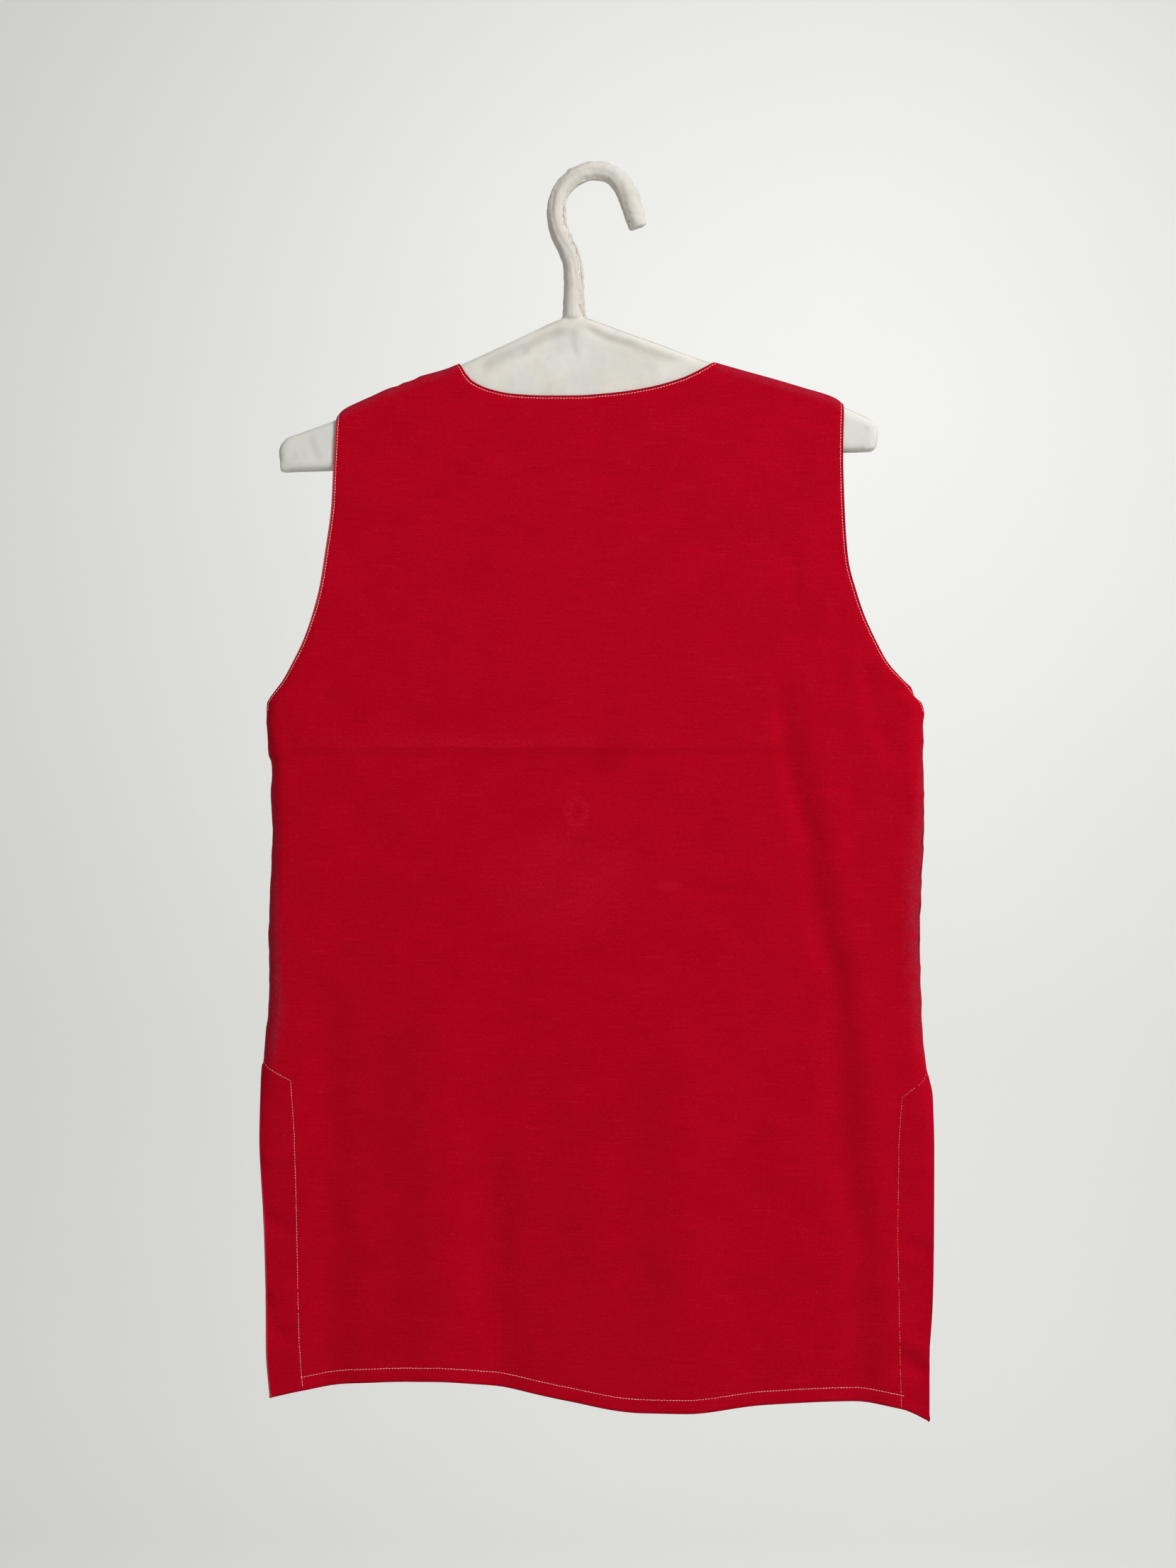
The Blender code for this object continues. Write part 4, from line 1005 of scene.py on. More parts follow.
def make_sheet(name, side, sides_at, top_height, columns, seams, lift=None):
    """A panel of cloth: its outer face as a grid, turned in at every edge, and given its thickness."""
    rows = row_plan()
    t, shift, row_inside, row_turned = (rows[:, k][:, None] for k in range(4))
    s, left, right = sides_at(t, shift)
    share_left, share_right, offset, inside, turned = (columns[:, k][None, :] for k in range(5))
    wave_left, wave_right = uneven(-1, s.z_left), uneven(1, s.z_right)
    left, right = left + wave_left * seams[0], right + wave_right * seams[1]
    s = s._replace(left=s.left + wave_left, right=s.right + wave_right)
    joined = np.clip((SLIT_TOP - t) / 0.5, 0.0, 1.0)
    kept = np.abs(turned) > 0
    short = np.sign(offset) * (HALF_PLY + (np.abs(offset) - HALF_PLY) * 0.06)
    long_turn = np.abs(offset) > HALF_PLY
    offset = np.where(kept & long_turn, offset * (1.0 - joined) + short * joined, offset + 0.0 * t)
    x = left * share_left + right * share_right + offset
    z = height_at(s, x, top_height) + shift
    depth = outer_depth(side, s, x, z)
    probe = 0.0003
    slope_x = (outer_depth(side, s, x + probe, z) - outer_depth(side, s, x - probe, z)) / (2 * probe)
    slope_z = (outer_depth(side, s, x, z + probe) - outer_depth(side, s, x, z - probe)) / (2 * probe)
    from_edge = np.minimum(x - left, right - x)
    from_top = top_height(x) - z
    near = np.minimum(np.where(t > PIT - 0.2, from_edge, 1.0), from_top)
    hem_height = height_at(section_at(0 * t), x, top_height)
    far_above = np.where(t > HEM_ROWS, 1.0, 0.0)
    near = np.minimum(near, np.abs(z - hem_height - HEM_TURN) + STITCH_INSET + far_above)
    calm = soft(from_edge / 0.02 + s.open) * soft(from_top / 0.012)
    ripple = slack(x, side, z) * np.maximum(calm, 0.12)
    ripple -= STITCH_DIP * np.exp(-(((near - STITCH_INSET) / 0.0012) ** 2))
    if lift is not None:
        ripple = ripple + lift(x, z, left)
    depth = np.maximum(depth + ripple, SEAM_GAP / 2)
    normal = np.stack([-slope_x, side * np.ones_like(x), -slope_z], axis=-1)
    normal /= np.linalg.norm(normal, axis=-1, keepdims=True)
    within = np.maximum(inside, row_inside) * np.ones_like(x)
    grid = np.stack([x, side * depth, z], axis=-1) - normal * within[..., None]
    grid[..., 1] = side * np.maximum(grid[..., 1] * side, SEAM_GAP / 2)
    cut_x = np.where(kept, np.where(turned > 0, 2 * left - x, 2 * right - x), x)
    cut_z = np.where(row_turned != 0, z - 2 * shift, z)
    fold = np.minimum(np.where(t < SLIT_TOP, from_edge, near), np.abs(z - hem_height) + far_above)
    shoulder = ((x < NECK_LEFT.x) | (x > NECK_RIGHT.x)) * soft((0.0020 - from_top) / 0.0010)
    outermost = np.exp(-((np.maximum(fold, 0.0) / 0.00070) ** 2)) * (1.0 - shoulder)
    # Along the left side's edges the outermost threads are worn, and a highlight is painted there.
    worn_and_lit_side = soft((-0.1000 - x) / 0.02) * (from_edge < 0.0020) * (side == BACK)
    # Painted shade: a dark strip where the right edge rolls under.
    shaded_rolled_under = soft((0.0024 + 0.0010 * np.sin(z * 260.0) - (right - x)) / 0.0008) * (side == BACK)
    shaded_rolled_under = shaded_rolled_under * soft((-0.4480 - z) / 0.010) * soft((z + 0.5700) / 0.010)
    masks = {
        "edge_wear_and_highlight": outermost * worn_and_lit_side,
        "slit_band": soft(band_edge(x, z) / 0.0020 + 0.5),
        # The rubbed mark is rubbed cloth with a painted grey sheen.
        "rubbed": rubbed_and_sheen_strips(x, z, left, right, from_top, seams),
        # Painted shade: a dark line in the shoulder seams' gap, along the outermost edges apart from the
        # left side's, and at the rolled-under right edge.
        "seam_line": np.maximum.reduce([
            np.exp(-((np.maximum(from_top, 0.0) / 0.0009) ** 2)) * shoulder,
            0.80 * outermost * (1.0 - worn_and_lit_side), 0.60 * shaded_rolled_under]),
    }
    return sheet_mesh(name, side, grid, np.stack([cut_x, cut_z], axis=-1), masks)


def sheet_mesh(name, side, grid, cut, masks):
    """Makes the grid a mesh with its cut as UV map, its worn places and painted light as attributes, and
    thickens it.
    """
    row_count, column_count = grid.shape[:2]
    index = np.arange(row_count * column_count).reshape(row_count, column_count)
    squares = np.stack([index[:-1, :-1], index[:-1, 1:], index[1:, 1:], index[1:, :-1]], axis=-1)
    if side == FRONT:
        squares = squares[..., ::-1]
    mesh = bpy.data.meshes.new(name)
    mesh.from_pydata(grid.reshape(-1, 3).tolist(), [], squares.reshape(-1, 4).tolist())
    layer = mesh.uv_layers.new(name="cut")
    corners = squares.reshape(-1)
    layer.data.foreach_set("uv", cut.reshape(-1, 2)[corners].astype(np.float32).reshape(-1))
    for label, values in masks.items():
        attribute = mesh.attributes.new(label, "FLOAT", "POINT")
        attribute.data.foreach_set("value", values.astype(np.float32).reshape(-1))
    piece = in_scene(name, mesh)
    apply(piece, "SOLIDIFY", thickness=CLOTH, offset=-1.0, use_even_offset=False)
    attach(piece, "root")
    return piece


RED = (0.440, 0.0002, 0.0115, 1.0)
RED_DARK = (0.345, 0.0001, 0.0065, 1.0)
RED_FADED = (0.50, 0.022, 0.040, 1.0)
RED_BAND = (0.432, 0.0002, 0.0135, 1.0)
# Its specks in the rubbed strips are also painted sheen.
RED_BARE = (0.62, 0.10, 0.125, 1.0)  # threads rubbed bare of their dye
RED_PRESSED = (0.66, 0.020, 0.045, 1.0)  # threads pressed flat, a brighter red
# The outermost threads of a worn fold, also a painted highlight on the left side's edges.
RED_FOLD_WEAR_AND_HIGHLIGHT = (0.72, 0.33, 0.34, 1.0)  # the outermost threads of a worn fold
# Partly rubbed cloth, partly a painted sheen where the cloth turns away at the shoulders and sides.
RED_RUBBED_AND_SHEEN = (0.290, 0.012, 0.032, 1.0)
# Painted shade for the dark lines at seams and edges.
RED_SEAM_SHADE = (0.085, 0.002, 0.005, 1.0)
RED_SHEEN = (1.0, 0.45, 0.50, 1.0)


def rubbed(tree, x, z, centre_x, centre_z, half_width, half_height, softness):
    """1 inside an oval of these half sizes and 0 outside it, with a soft rim."""
    across = sum_up(tree, "DIVIDE", sum_up(tree, "SUBTRACT", x, centre_x), half_width)
    up = sum_up(tree, "DIVIDE", sum_up(tree, "SUBTRACT", z, centre_z), half_height)
    reach = sum_up(tree, "SQRT", sum_up(tree, "ADD", times(tree, across, across), times(tree, up, up)))
    return between(tree, reach, 1.0 - softness, 1.0 + softness, 1.0, 0.0)


# Marks on the back as ovals: place of the middle, half sizes, and softness of the rim
FOLD_NEAR = (-0.080, 0.0, 0.085, 1.0, 0.6)
FOLD_FAR = (-0.045, 0.0, 0.180, 1.0, 0.2)
RING_OUTSIDE = (-0.0125, -0.4567, 0.0093, 0.0112, 0.10)
RING_INSIDE = (-0.0113, -0.4563, 0.0040, 0.0066, 0.25)
FRONT_EDGE_LINE = (-0.0184, -0.4760, 0.0007, 0.0150, 0.4)
RUBBED_FIELD = (-0.0200, -0.5070, 0.0500, 0.0360, 0.45)
PALE_SPOT = (0.0535, -0.5105, 0.0090, 0.0035, 0.5)
DARK_SPOT = (0.0080, -0.4200, 0.0160, 0.0095, 0.6)


def press_marks(tree, x, z, threads):
    """The marks on the back: the pressed fold with painted shade just below it, the button's ring pressed
    through, and rubbed places.
    """
    crease_reach = rubbed(tree, x, 0.0, *FOLD_NEAR)
    crease_far = rubbed(tree, x, 0.0, *FOLD_FAR)
    over = sum_up(tree, "SUBTRACT", z, PRESS_LINE)
    light = times(tree, between(tree, over, 0.0, 0.0012), between(tree, over, 0.004, 0.016, 1.0, 0.0))
    light = times(tree, light, add_share(tree, crease_reach, 0.75, times(tree, crease_far, 0.2)))
    # Painted shade in a narrow band just below the pressed fold.
    dark = times(tree, between(tree, over, -0.009, -0.0005), between(tree, over, -0.0005, 0.0006, 1.0, 0.0))
    dark = times(tree, dark, crease_far)
    outer = rubbed(tree, x, z, *RING_OUTSIDE)
    inner = rubbed(tree, x, z, *RING_INSIDE)
    ring = times(tree, outer, sum_up(tree, "SUBTRACT", 1.0, times(tree, inner, 0.8)))
    placket = times(tree, rubbed(tree, x, z, *FRONT_EDGE_LINE), 0.7)
    field = rubbed(tree, x, z, *RUBBED_FIELD)
    spot = rubbed(tree, x, z, *PALE_SPOT)
    shade = rubbed(tree, x, z, *DARK_SPOT)
    worn = add_share(tree, light, 0.22, times(tree, ring, 0.50))
    worn = add_share(tree, field, 0.13, add_share(tree, placket, 0.6, worn))
    worn = times(tree, worn, threads)
    faded = add_share(tree, field, 0.05, times(tree, spot, 0.12))
    faded = add_share(tree, light, 0.05, faded)
    faded = add_share(tree, ring, 0.06, faded)
    # Painted shade below the pressed fold: the narrow band and the dark oval beneath it.
    shaded = add_share(tree, dark, 0.35, times(tree, shade, 0.40))
    return worn, faded, shaded


def drawn_out_speckle(tree, cut, across, along, detail):
    """Noise drawn out along the threads, given its fineness across and along the cloth."""
    drawn = add_node(tree, "Mapping", Vector=cut, Scale=(across, along, 1.0)).outputs[0]
    return speckle(tree, drawn, 1.0, detail)


def make_red_cloth(name, base, marked):
    """Fine red plain weave: slubs along the weft, light nops, uneven dye, worn edges, and painted light: a
    highlight on the left edges, a grey sheen at shoulders and sides, and shade at seams, edges and the
    back's pressed fold.
    """
    material, tree, shader = new_finish(name, 0.90, 0.03, 0.16, RED_SHEEN)
    cut = add_node(tree, "UVMap", [("uv_map", "cut")]).outputs[0]
    cloth = add_node(tree, "Group", [("node_tree", weave)], Cut=cut, Threads=1150.0,
                     Slub_Length=38.0).outputs
    places = add_node(tree, "SeparateXYZ", Vector=cut)
    x, z = places.outputs["X"], places.outputs["Y"]
    band, wear_and_highlight, grey, seam = (mark(tree, label)
                              for label in ("slit_band", "edge_wear_and_highlight", "rubbed", "seam_line"))
    tone = blend_colours(tree, band, base, RED_BAND)
    tone = blend_colours(tree, between(tree, cloth["Clouds"], 0.62, 0.30, 0.0, 0.30), tone, RED_DARK)
    tone = blend_colours(tree, between(tree, cloth["Streaks"], 0.53, 0.38, 0.0, 0.38), tone, RED_DARK)
    tone = blend_colours(tree, between(tree, cloth["Streaks"], 0.56, 0.72, 0.0, 0.15), tone, RED_FADED)
    weft_bits = drawn_out_speckle(tree, cut, 330.0, 1500.0, 1.0)
    warp_bits = drawn_out_speckle(tree, cut, 1500.0, 420.0, 1.0)
    fine = times(tree, sum_up(tree, "ADD", weft_bits, warp_bits), 0.5)
    threads = between(tree, fine, 0.50, 0.64)
    tone = blend_colours(tree, between(tree, fine, 0.50, 0.36, 0.0, 0.32), tone, RED_DARK)
    tone = blend_colours(tree, between(tree, fine, 0.53, 0.66, 0.0, 0.14), tone, RED_FADED)
    rubs_and_highlight = times(tree, wear_and_highlight, between(tree, fine, 0.30, 0.65, 0.45, 1.0))
    patchy = between(tree, speckle(tree, cut, 120.0, 3.0), 0.30, 0.68, 0.35, 1.0)
    # The rubbed mark: rubbed cloth and a painted grey sheen along the shoulders and side seams, with bare
    # specks.
    tone = blend_colours(tree, times(tree, grey, times(tree, patchy, 0.80)), tone, RED_RUBBED_AND_SHEEN)
    tone = blend_colours(tree, times(tree, grey, times(tree, threads, 0.12)), tone, RED_BARE)
    if marked:
        worn, faded, shaded = press_marks(tree, x, z, threads)
        tone = blend_colours(tree, shaded, tone, RED_DARK)
        tone = blend_colours(tree, faded, tone, RED_PRESSED)
        tone = blend_colours(tree, times(tree, worn, 0.55), tone, RED_PRESSED)
    tone = blend_colours(tree, times(tree, cloth["Nops"], 0.45), tone, RED_BARE)
    # Painted shade along the seams and edges.
    tone = blend_colours(tree, times(tree, seam, 0.85), tone, RED_SEAM_SHADE)
    # Worn fold edges, and a painted highlight along the left side's edges.
    tone = blend_colours(tree, times(tree, rubs_and_highlight, 0.60), tone, RED_FOLD_WEAR_AND_HIGHLIGHT)
    ripples = drawn_out_speckle(tree, cut, 70.0, 240.0, 3.0)
    height = add_share(tree, ripples, 1.1, cloth["Height"])
    colour_and_bump(tree, shader, tone, height, 0.5, 0.00022)
    return material


def back_sides(t, shift):
    """The back's sections at rows, and its left and right edges there."""
    s = section_at(t, shift)
    return s, s.left, s.right


NECK_CORNERS = (0.0004, 0.0008, 0.0015, 0.0030, 0.0050)
tip_left, tip_right = SECTIONS[TIPS].left, SECTIONS[TIPS].right
neck_columns = [NECK_LEFT.x - tip_left, NECK_RIGHT.x - tip_left]
neck_columns += [NECK_LEFT.x - tip_left + step for step in NECK_CORNERS]
neck_columns += [NECK_RIGHT.x - tip_left - step for step in NECK_CORNERS]
back_columns = column_plan(tip_right - tip_left, neck_columns, EDGE_TURN, EDGE_TURN)
back = make_sheet("back_cloth", BACK, back_sides, back_top_height, back_columns, (1, 1))
back.data.materials.append(make_red_cloth("red_cloth_back", RED, True))
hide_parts("back")


# The two fronts. Each is one piece with a sloping neck edge, a deeper armhole than the back's, and a
# straight front edge; the wearer's right front laps over the left and carries the buttonhole.

CENTRE_FRONT = -0.0120
LAP = 0.0150
LAP_RAMP = 0.0180
LAP_LIFT = 0.0023
FRONT_WIDE = 0.2450
V_BOTTOM = -0.4300
V_BOW = 0.0060
ARMHOLE_SCOOP = 0.0080
SLIT_SET_BACK = 0.0020
NECK_EDGE_TRIES = 10  # a row's height and its place on the neck edge settle in this many turns
NECK_CORNER = {-1: NECK_LEFT, 1: NECK_RIGHT}
HANDS = (("left", -1), ("right", 1))


def side_edge(s, hand):
    """The left (-1) or right (1) edge of a section."""
    return s.right if hand > 0 else s.left


def band_inner(s, hand):
    """The inner edge of a section's left (-1) or right (1) slit band."""
    return s.right - s.band_right if hand > 0 else s.left + s.band_left


def front_section(t, shift=0.0):
    """A front's section: slit edges a little inside the back's, armholes a little deeper."""
    s = section_at(t, shift)
    pit, tip = SECTIONS[PIT].z_left, SECTIONS[TIPS].z_left
    up = np.clip((s.z_left - pit) / (tip - pit), 0.0, 1.0)
    moved = ARMHOLE_SCOOP * np.sin(math.pi * up) + np.where(s.z_left < pit, SLIT_SET_BACK * s.open, 0.0)
    return s._replace(left=s.left + moved, right=s.right - moved)


def neck_edge(hand, z):
    """Where a front's inner edge is at this height: the slope of the V, then the straight lap."""
    neck = NECK_CORNER[hand]
    down = np.clip((neck.z - z) / (neck.z - V_BOTTOM), 0.0, 1.0)
    lap_edge = CENTRE_FRONT - hand * LAP
    return neck.x + (lap_edge - neck.x) * down + hand * V_BOW * np.sin(math.pi * down)


def front_sides(hand):
    """For one front, a function that gives its sections, left edges and right edges at rows."""
    def sides(t, shift):
        s = front_section(t, shift)
        outer = inner = side_edge(s, hand)
        for _ in range(NECK_EDGE_TRIES):
            inner = neck_edge(hand, height_at(s, inner, shoulder_height) + shift)
        return (s, inner, outer) if hand > 0 else (s, outer, inner)
    return sides


def right_lift(x, z, left):
    """The right front stands off the left one where it laps over it, lower down than the neck."""
    past = (x - left - 2 * LAP - SEAM_GAP) / LAP_RAMP
    return LAP_LIFT * (1.0 - soft(past)) * soft((-0.2000 - z) / 0.0500)


front_cloth = make_red_cloth("red_cloth_fronts", RED, False)
fronts = {}
for label, hand in HANDS:
    name = "front_" + label
    columns = column_plan(FRONT_WIDE, [], EDGE_TURN, EDGE_TURN)
    front = make_sheet(name + "_cloth", FRONT, front_sides(hand), shoulder_height, columns,
                       (hand < 0, hand > 0), right_lift if hand > 0 else None)
    front.data.materials.append(front_cloth)
    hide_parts(name)
    fronts[hand] = front


# Slit bands. Below each side seam a strip of the same cloth is sewn behind the open edge, with a
# slanted top end and its lower end turned in level with the hem. The outer cloth runs over it.

BAND_IN = 0.0010  # the band starts this much inside the panel's folded edge
band_cloth = make_red_cloth("red_cloth_bands", RED_BAND, False)
BAND_SHARES = np.array([0.0, 0.04, 0.15, 0.3, 0.45, 0.6, 0.75, 0.88, 0.97, 1.0])
BAND_ROWS = np.array([0.0, 0.03, *(k * 0.12 for k in range(1, 53)), 6.45])  # up to its slanted end
PANEL_OF_BAND = {
    "slit_band_back_left": "back_cloth",
    "slit_band_back_right": "back_cloth",
    "slit_band_front_left": "front_left_cloth",
    "slit_band_front_right": "front_right_cloth",
}


def make_band(name, side, hand):
    """One slit band, laid on the inside of its panel."""
    t = BAND_ROWS[:, None]
    s = front_section(t) if side == FRONT else section_at(t)
    edge = side_edge(s, hand)
    width = (s.band_right if hand > 0 else s.band_left) - BAND_IN
    x = edge - hand * (BAND_IN + np.maximum(width, 0.0012) * BAND_SHARES[None, :])
    z = height_at(s, x, shoulder_height) + 0.0012 * (1.0 - soft(t / 0.05))
    depth = outer_depth(side, s, x, z) + slack(x, side, z)
    y = side * np.maximum(depth - PLY, SEAM_GAP / 2)
    grid = np.stack([x, y, z], axis=-1)
    if hand > 0:
        grid = grid[:, ::-1]
    masks = {"slit_band": np.ones(grid.shape[:2])}
    piece = sheet_mesh(name + "_cloth", -side, grid, grid[..., [0, 2]], masks)
    piece.data.materials.append(band_cloth)
    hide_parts(name)


for name in PANEL_OF_BAND:
    make_band(name, BACK if "back" in name else FRONT, 1 if name.endswith("right") else -1)


# Topstitching. White sewing thread, about 2.1 mm a stitch, sewn by machine 2.1 mm inside the neck,
# armhole and front edges, 10 mm above the hem, and round each slit band.

def make_thread(name, pale, dull):
    """Twisted sewing thread, from a bright to a dulled tone."""
    material, tree, shader = new_finish(name, 0.7, 0.2, 0.1, (1.0, 0.9, 0.9, 1.0))
    place = on_piece(tree)
    patches = speckle(tree, place, 260.0, 1.0)
    plies = speckle(tree, place, 2600.0)
    tone = blend_colours(tree, between(tree, patches, 0.35, 0.65), dull, pale)
    colour_and_bump(tree, shader, tone, plies, 0.4, 0.0001)
    return material


white_thread = make_thread("white_sewing_thread", (0.98, 0.76, 0.74, 1.0), (0.84, 0.46, 0.46, 1.0))
rubbed_thread = make_thread("rubbed_sewing_thread", (0.94, 0.62, 0.61, 1.0), (0.76, 0.32, 0.34, 1.0))
dull_thread = make_thread("dulled_sewing_thread", (0.70, 0.36, 0.36, 1.0), (0.52, 0.13, 0.15, 1.0))
STITCH_PITCH = 0.0021
STITCH_LONG = 0.0018
STITCH_THICK = 0.00042


def set_in(line, distance):
    """A line moved sideways by a distance, to the left of its direction."""
    line = np.asarray(line, float)
    steps = np.gradient(line, axis=0)
    steps /= np.linalg.norm(steps, axis=1, keepdims=True)
    return line + np.stack([-steps[:, 1], steps[:, 0]], axis=1) * distance


def drawn_out(line, length):
    """A line made longer at both ends."""
    ends = [line[end] + (line[end] - line[next_in]) / np.linalg.norm(line[end] - line[next_in]) * length
            for end, next_in in ((0, 2), (-1, -3))]
    return np.vstack([ends[0], line, ends[1]])


def topstitch(name, sheet, side, line, thread, thick=STITCH_THICK, skipped=0.0):
    """Sews stitches along a line of x, z places on a sheet's outer face; a share of them doesn't show."""
    places = []
    even = evenly(line, STITCH_PITCH)
    for k, (x, z) in enumerate(even[1:-1], 1):
        found, spot, normal = face_at(sheet, side, x, z)
        if not found or random.random() < skipped:
            continue
        step = even[k + 1] - even[k - 1]
        forward = Vector((step[0], 0.0, step[1])).normalized()
        forward = (forward - normal * forward.dot(normal)).normalized()
        sideways = normal.cross(forward) * random.gauss(0.0, 0.00006)
        size = (STITCH_LONG * random.uniform(0.9, 1.08), thick, thick * 0.8)
        slanted = (forward + normal.cross(forward) * random.uniform(0.02, 0.16)).normalized()
        places.append((spot + normal * 0.00008 + sideways, slanted, normal, size))
    sew(name, stitch_bead, places, thread)


def armhole_line(hand, section_of, top_height):
    """An armhole's edge as x, z places, from just below the pit up to the shoulder."""
    s = section_of(np.linspace(PIT - 0.3, TIPS, 160))
    x = side_edge(s, hand)
    return np.column_stack([x, height_at(s, x, top_height)])


neck_x = np.linspace(NECK_LEFT.x, NECK_RIGHT.x, 120)
neck_line = np.column_stack([neck_x, back_top_height(neck_x)])
neck_stitches = drawn_out(set_in(neck_line, -STITCH_INSET), 0.0030)
topstitch("back_neck_topstitch", back, BACK, neck_stitches, white_thread)
for label, hand in HANDS:
    back_armhole = set_in(armhole_line(hand, section_at, back_top_height), hand * STITCH_INSET)
    topstitch(f"back_armhole_topstitch_{label}", back, BACK, drawn_out(back_armhole, 0.0040),
              white_thread)
    front_armhole = set_in(armhole_line(hand, front_section, shoulder_height), hand * STITCH_INSET)
    topstitch(f"front_armhole_topstitch_{label}", fronts[hand], FRONT, drawn_out(front_armhole, 0.0040),
              white_thread)


def slit_line(hand, section_of, top_height):
    """The inner edge of a slit band, from the hem up to its slanted end at the side seam."""
    s = section_of(np.arange(0.0, SLIT_TOP + 1))
    x = band_inner(s, hand)
    return np.column_stack([x, height_at(s, x, top_height)])


for label, hand in HANDS:
    thread = rubbed_thread if hand < 0 else dull_thread
    topstitch(f"back_slit_topstitch_{label}", back, BACK, slit_line(hand, section_at, back_top_height),
              thread, thick=0.00032, skipped=0.02 if hand < 0 else 0.10)
    topstitch(f"front_slit_topstitch_{label}", fronts[hand], FRONT,
              slit_line(hand, front_section, shoulder_height), thread)

HEM_STITCHES_PAST = 0.0030  # the hem's stitches run on this far beyond the slit bands' lines
LOW_HEM, FRONT_EDGE_FOOT = -0.8800, -0.8700  # heights where the fronts' hem and edge stitches start
hem_x = np.linspace(band_inner(SECTIONS[0], -1) - HEM_STITCHES_PAST,
                    band_inner(SECTIONS[0], 1) + HEM_STITCHES_PAST, 140)
hem_line = np.column_stack([hem_x, line_height(HEM_LINE, hem_x) + HEM_TURN])
topstitch("back_hem_topstitch", back, BACK, hem_line, white_thread, thick=0.00037)
for label, hand in HANDS:
    inner = neck_edge(hand, LOW_HEM)
    outer = band_inner(SECTIONS[0], hand) - hand * SLIT_SET_BACK
    front_hem_x = np.linspace(inner + hand * STITCH_INSET, outer, 90)
    front_hem = np.column_stack([front_hem_x, line_height(HEM_LINE, front_hem_x) + HEM_TURN])
    topstitch(f"front_hem_topstitch_{label}", fronts[hand], FRONT, front_hem, white_thread)
    edge_z = np.linspace(FRONT_EDGE_FOOT, NECK_CORNER[hand].z - 0.004, 260)
    front_edge = np.column_stack([neck_edge(hand, edge_z), edge_z])
    topstitch(f"front_edge_topstitch_{label}", fronts[hand], FRONT,
              set_in(front_edge, -hand * STITCH_INSET), white_thread)


# Button and buttonhole. A red plastic sew-through button with a raised rim closes the fronts. It is
# sewn on with four strands through its holes, and lies over a bound buttonhole in the right front.

button_low, button_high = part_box("button")
button_centre = (Vector(button_low) + Vector(button_high)) / 2
plastic, tree, shader = even_finish("button_red_plastic", Roughness=0.35, Coat_Weight=0.3)
swirl = speckle(tree, on_piece(tree), 320.0, 3.0, Distortion=1.5)
button_tone = blend_colours(tree, swirl, (0.26, 0.001, 0.010, 1.0), (0.36, 0.004, 0.020, 1.0))
colour_and_bump(tree, shader, button_tone, swirl, 0.15, 0.0001)
for node_slot in frame["nodes"]["button"].material_slots:
    node_slot.material = plastic

red_thread = make_thread("red_buttonhole_thread", (0.40, 0.004, 0.014, 1.0), (0.30, 0.002, 0.008, 1.0))
THREAD_HOLES_APART = 0.0034
strands = []
for up in (-1, 1):
    middle = button_centre + Vector((0.0, 0.0, up * THREAD_HOLES_APART / 2))
    middle.y = button_high.y - 0.00045
    for twin in (-1, 1):
        spot = middle + Vector((0.0, 0.0, twin * 0.00028))
        strands.append((spot, (1.0, 0.0, 0.03 * twin), (0.0, 1.0, 0.0), (0.0052, 0.0005, 0.0009)))
sew("button_sewing_thread", stitch_bead, strands, red_thread)

HOLE_HALF = 0.0125  # half the buttonhole's length
HOLE_MIDDLE = button_centre.x + 0.0040
SIDE_STITCHES, END_STITCHES = 44, 5
bound = []


def bind(x, z, lift, size):
    """One upright stitch of the buttonhole's edge, on the right front."""
    found, spot, normal = face_at(fronts[1], FRONT, x, z)
    if found:
        bound.append((spot + normal * lift, (0.0, 0.0, 1.0), normal, size))


for number in range(SIDE_STITCHES):
    share = number / (SIDE_STITCHES - 1) * 2 - 1
    for row in (-1, 1):
        bind(HOLE_MIDDLE + share * HOLE_HALF, button_centre.z + row * 0.0009, 0.00010,
             (0.0017, 0.00052, 0.0006))
for end in (-1, 1):
    for number in range(END_STITCHES):
        bind(HOLE_MIDDLE + end * (HOLE_HALF + 0.0003 + 0.00008 * number),
             button_centre.z + (number - 2) * 0.0006, 0.00012, (0.0020, 0.0006, 0.0006))
sew("buttonhole_stitches", stitch_bead, bound, red_thread)
bpy.data.objects.remove(stitch_bead)


# Surroundings. A plain pale floor that rises far behind the vest into a plain backdrop, even soft
# light from all round, a soft lamp high in front of the vest, and a second one on the backdrop.

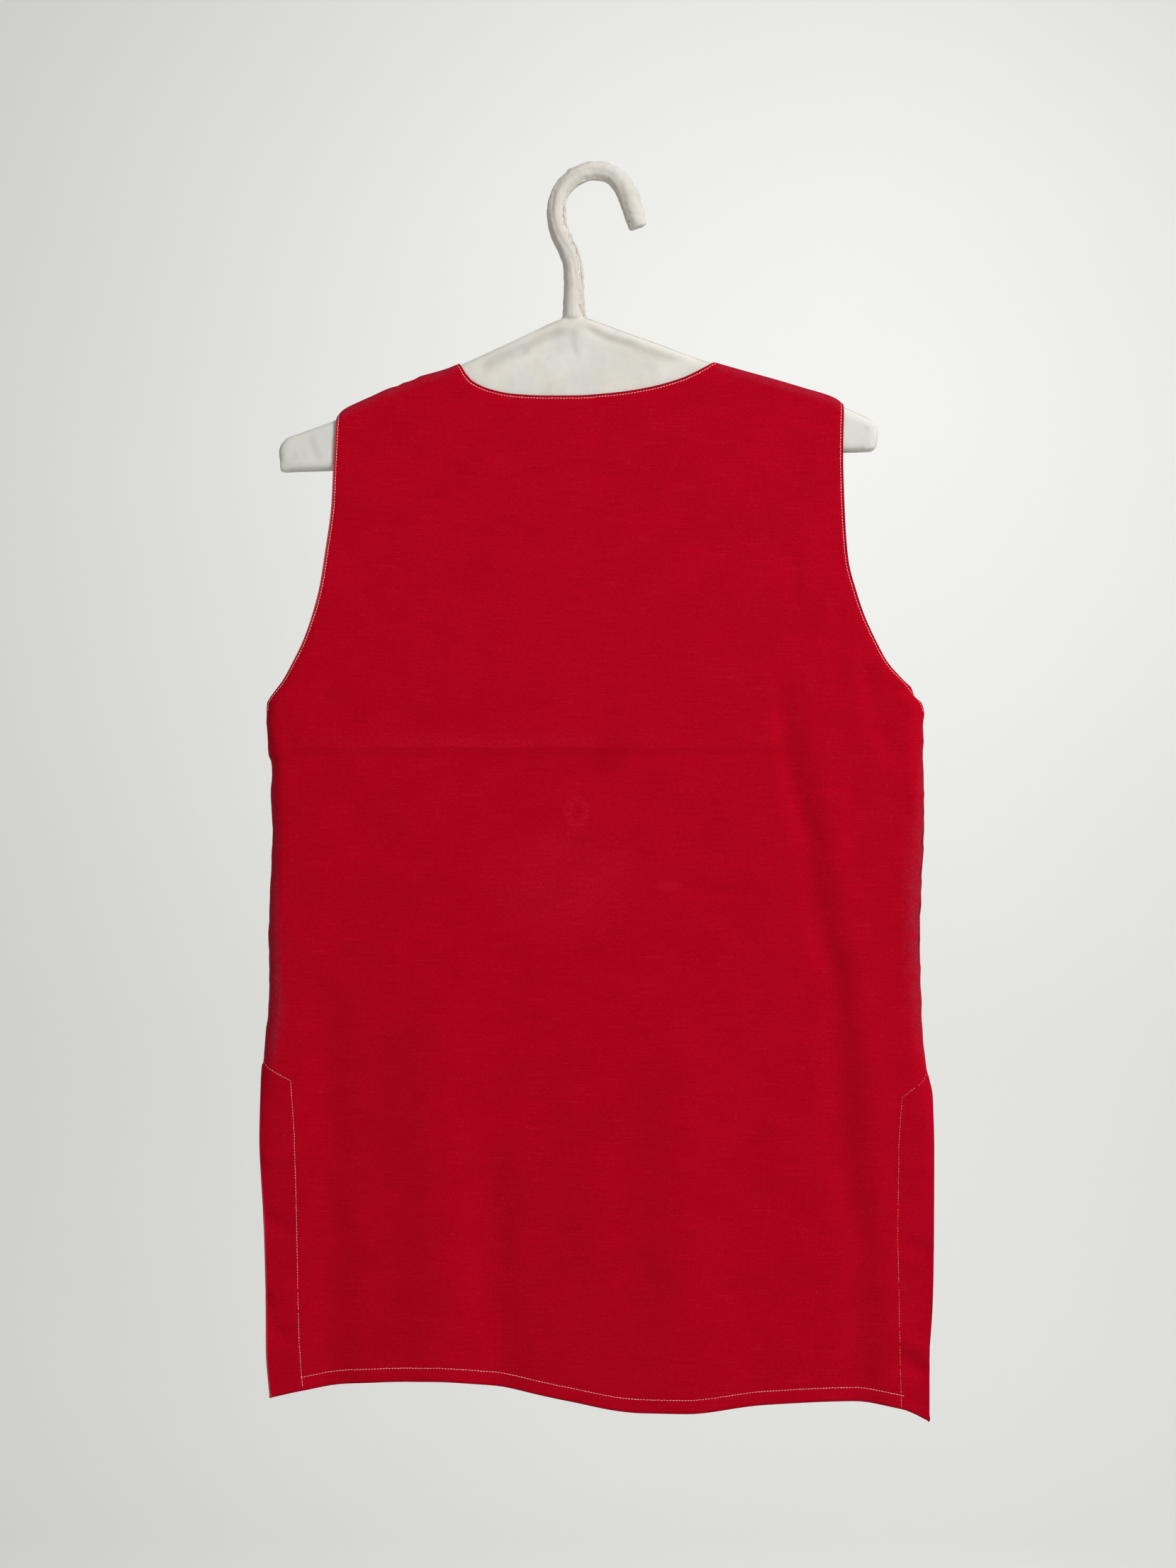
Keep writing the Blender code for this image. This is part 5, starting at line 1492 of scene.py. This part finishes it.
FLOOR_HEIGHT = -1.900
COVE_BACK = 3.600
COVE_ROUND = 0.900
floor_material, tree, shader = new_finish("pale_floor_paint", 0.95, 0.1, 0.0, (1.0, 1.0, 1.0, 1.0))
floor_tone = blend_colours(tree, speckle(tree, on_piece(tree), 2.0), (0.80, 0.80, 0.785, 1.0),
                           (0.82, 0.82, 0.805, 1.0))
tree.links.new(floor_tone, shader.inputs["Base Color"])
FLOOR_FRONT, FLOOR_SIDE, BACKDROP_TOP = -6.0, 7.0, 4.0
COVE_STEPS = 12
profile = [(FLOOR_FRONT, FLOOR_HEIGHT), (COVE_BACK - COVE_ROUND, FLOOR_HEIGHT)]
for step in range(1, COVE_STEPS + 1):
    angle = math.pi / 2 * step / COVE_STEPS
    profile.append((COVE_BACK - COVE_ROUND + COVE_ROUND * math.sin(angle),
                    FLOOR_HEIGHT + COVE_ROUND * (1.0 - math.cos(angle))))
profile.append((COVE_BACK, BACKDROP_TOP))
floor_mesh = bpy.data.meshes.new("floor_and_backdrop")
floor_points = [(x, y, z) for y, z in profile for x in (-FLOOR_SIDE, FLOOR_SIDE)]
floor_faces = [(2 * k, 2 * k + 1, 2 * k + 3, 2 * k + 2) for k in range(len(profile) - 1)]
floor_mesh.from_pydata(floor_points, [], floor_faces)
floor_mesh.materials.append(floor_material)
floor = in_scene("floor_and_backdrop", floor_mesh)

ROOM_TONE, ROOM_LIGHT = (1.0, 1.0, 0.99, 1.0), 0.42
world = bpy.data.worlds.new("pale_room")
bpy.context.scene.world = world
world.use_nodes = True
room = world.node_tree.nodes["Background"]
room.inputs["Color"].default_value = ROOM_TONE
room.inputs["Strength"].default_value = ROOM_LIGHT


def soft_lamp(name, place, aim, size, power):
    """A square soft lamp that points at a place."""
    light = bpy.data.lights.new(name, "AREA")
    light.size = size
    light.energy = power
    lamp = put_in(name, light)
    lamp.location = place
    lamp.rotation_euler = (Vector(aim) - Vector(place)).to_track_quat("-Z", "Y").to_euler()


soft_lamp("key_lamp", place=(1.75, -1.9, 1.3), aim=(0.0, 0.0, -0.35), size=1.0, power=77.0)
soft_lamp("backdrop_lamp", place=(0.6, 1.0, 0.8), aim=(0.3, 3.6, -0.3), size=1.2, power=34.0)

# The camera looks straight along +Y at the vest's back, as in the photograph.
VIEW_HEIGHT = 1.1286  # what it takes in from top to bottom, at the back's plane
VIEW_DISTANCE = 1.600
VIEW_X, VIEW_Z = -0.0043, -0.4371
BACK_PLANE = -0.010
camera_data = bpy.data.cameras.new("camera")
camera_data.sensor_width = 36.0
camera_data.lens = camera_data.sensor_width * VIEW_DISTANCE / VIEW_HEIGHT
camera = put_in("camera", camera_data)
camera.location = (VIEW_X, BACK_PLANE - VIEW_DISTANCE, VIEW_Z)
camera.rotation_euler = (math.pi / 2, 0.0, 0.0)
bpy.context.scene.camera = camera
bpy.context.scene.view_settings.view_transform = "Standard"
